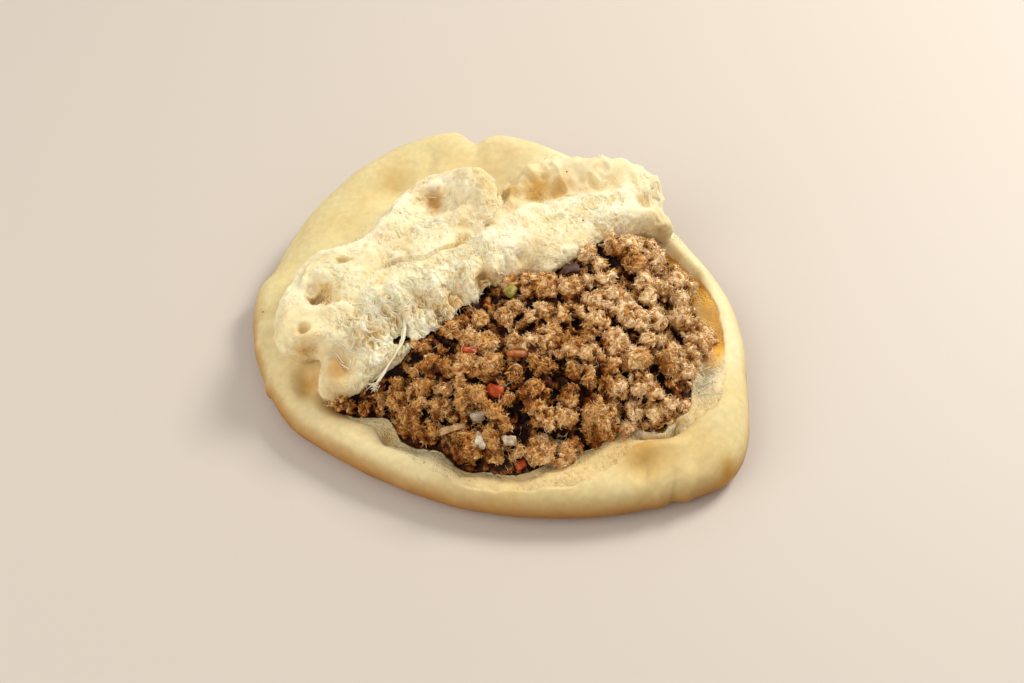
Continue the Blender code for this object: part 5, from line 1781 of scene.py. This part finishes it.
def make_chopped():
    """A softer, uneven piece in place of each chopped block."""
    slots = {row["node"]: row["material_slot"] for row in frame["record"]["subparts"]}
    looks = {slot: moist_material(*values) for slot, values in CHOPPED_LOOKS.items()}
    for name, obj in chopped_nodes():
        build = bmesh.new()
        build.from_mesh(obj.data)
        bmesh.ops.remove_doubles(build, verts=build.verts, dist=0.01 * MM)
        piece = object_from(name + "_piece", build)
        with_modifier(piece, "SUBSURF", levels=2, render_levels=2)
        mesh = piece.data
        mesh.shade_smooth()
        points, normals = points_of(mesh), normals_of(mesh)
        depth = 1.1 * MM if slots[name] == "onion" else 0.7 * MM
        push = depth * layered_noise(points, 2.2 * MM, 601, 3)
        set_points(mesh, points + normals * push[:, None])
        mesh.materials.clear()
        mesh.materials.append(looks[slots[name]])
        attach(piece, "root")
        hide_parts(name)


# Stage
def make_stage():
    floor_material, tree = new_material("pale_floor")
    shader = node(tree, "BsdfPrincipled", {"Base Color": (0.60, 0.52, 0.45, 1.0), "Roughness": 0.6})
    node(tree, "OutputMaterial", links={"Surface": shader})
    bpy.ops.mesh.primitive_plane_add(size=6.0, location=(0.0, 0.0, 0.0))
    floor = bpy.context.active_object
    floor.name = "floor"
    floor.data.materials.append(floor_material)


def area_light(name, place, target, size, power, colour):
    data = bpy.data.lights.new(name, "AREA")
    data.size = size
    data.energy = power
    data.color = colour
    light = bpy.data.objects.new(name, data)
    light.location = place
    light.rotation_euler = (Vector(target) - Vector(place)).to_track_quat("-Z", "Y").to_euler()
    bpy.context.scene.collection.objects.link(light)


def make_light():
    area_light("key", (0.62, 0.50, 0.72), (0.0, 0.0, 0.0), 0.34, 9.3, (1.0, 0.985, 0.93))
    area_light("fill", (-0.7, -0.4, 0.7), (0.0, 0.0, 0.0), 0.9, 5.2, (1.0, 0.99, 0.95))
    world = bpy.data.worlds.new("studio")
    world.use_nodes = True
    background = world.node_tree.nodes["Background"]
    background.inputs["Color"].default_value = (1.0, 0.99, 0.95, 1.0)
    background.inputs["Strength"].default_value = 0.54
    bpy.context.scene.world = world
    bpy.context.scene.view_settings.view_transform = "Standard"


# The camera stands half a metre away and looks 51 degrees down, as for the photograph.
CAMERA_ELEVATION = math.radians(50.97)
CAMERA_DISTANCE = 0.4996
CAMERA_TARGET = Vector((0.0054, -0.0001, 0.0))
FOCAL_PIXELS = 1400.0
IMAGE_WIDTH = 1024.0
SENSOR_WIDTH = 36.0


def make_camera():
    data = bpy.data.cameras.new("camera")
    data.sensor_width = SENSOR_WIDTH
    data.lens = FOCAL_PIXELS / IMAGE_WIDTH * SENSOR_WIDTH
    camera = bpy.data.objects.new("camera", data)
    back = Vector((0.0, -math.cos(CAMERA_ELEVATION), math.sin(CAMERA_ELEVATION)))
    camera.location = CAMERA_TARGET + SHIFT + back * CAMERA_DISTANCE
    camera.rotation_euler = (math.pi / 2.0 - CAMERA_ELEVATION, 0.0, 0.0)
    bpy.context.scene.collection.objects.link(camera)
    bpy.context.scene.camera = camera


def place_piece(piece, material, node_name):
    piece.data.transform(Matrix.Translation(SHIFT))
    piece.data.materials.clear()
    piece.data.materials.append(material)
    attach(piece, "root")
    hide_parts(node_name)


def main():
    bread, lines = make_bread()
    strands = make_strands(bread, lines)
    filling = make_filling(bread)
    place_piece(bread, bread_material(), "bread")
    place_piece(strands, thread_material(), "bread")
    herring = herring_material()
    for piece in filling:
        place_piece(piece, herring, "filling")
    make_chopped()
    make_stage()
    make_light()
    make_camera()
    bpy.context.view_layer.update()


main()
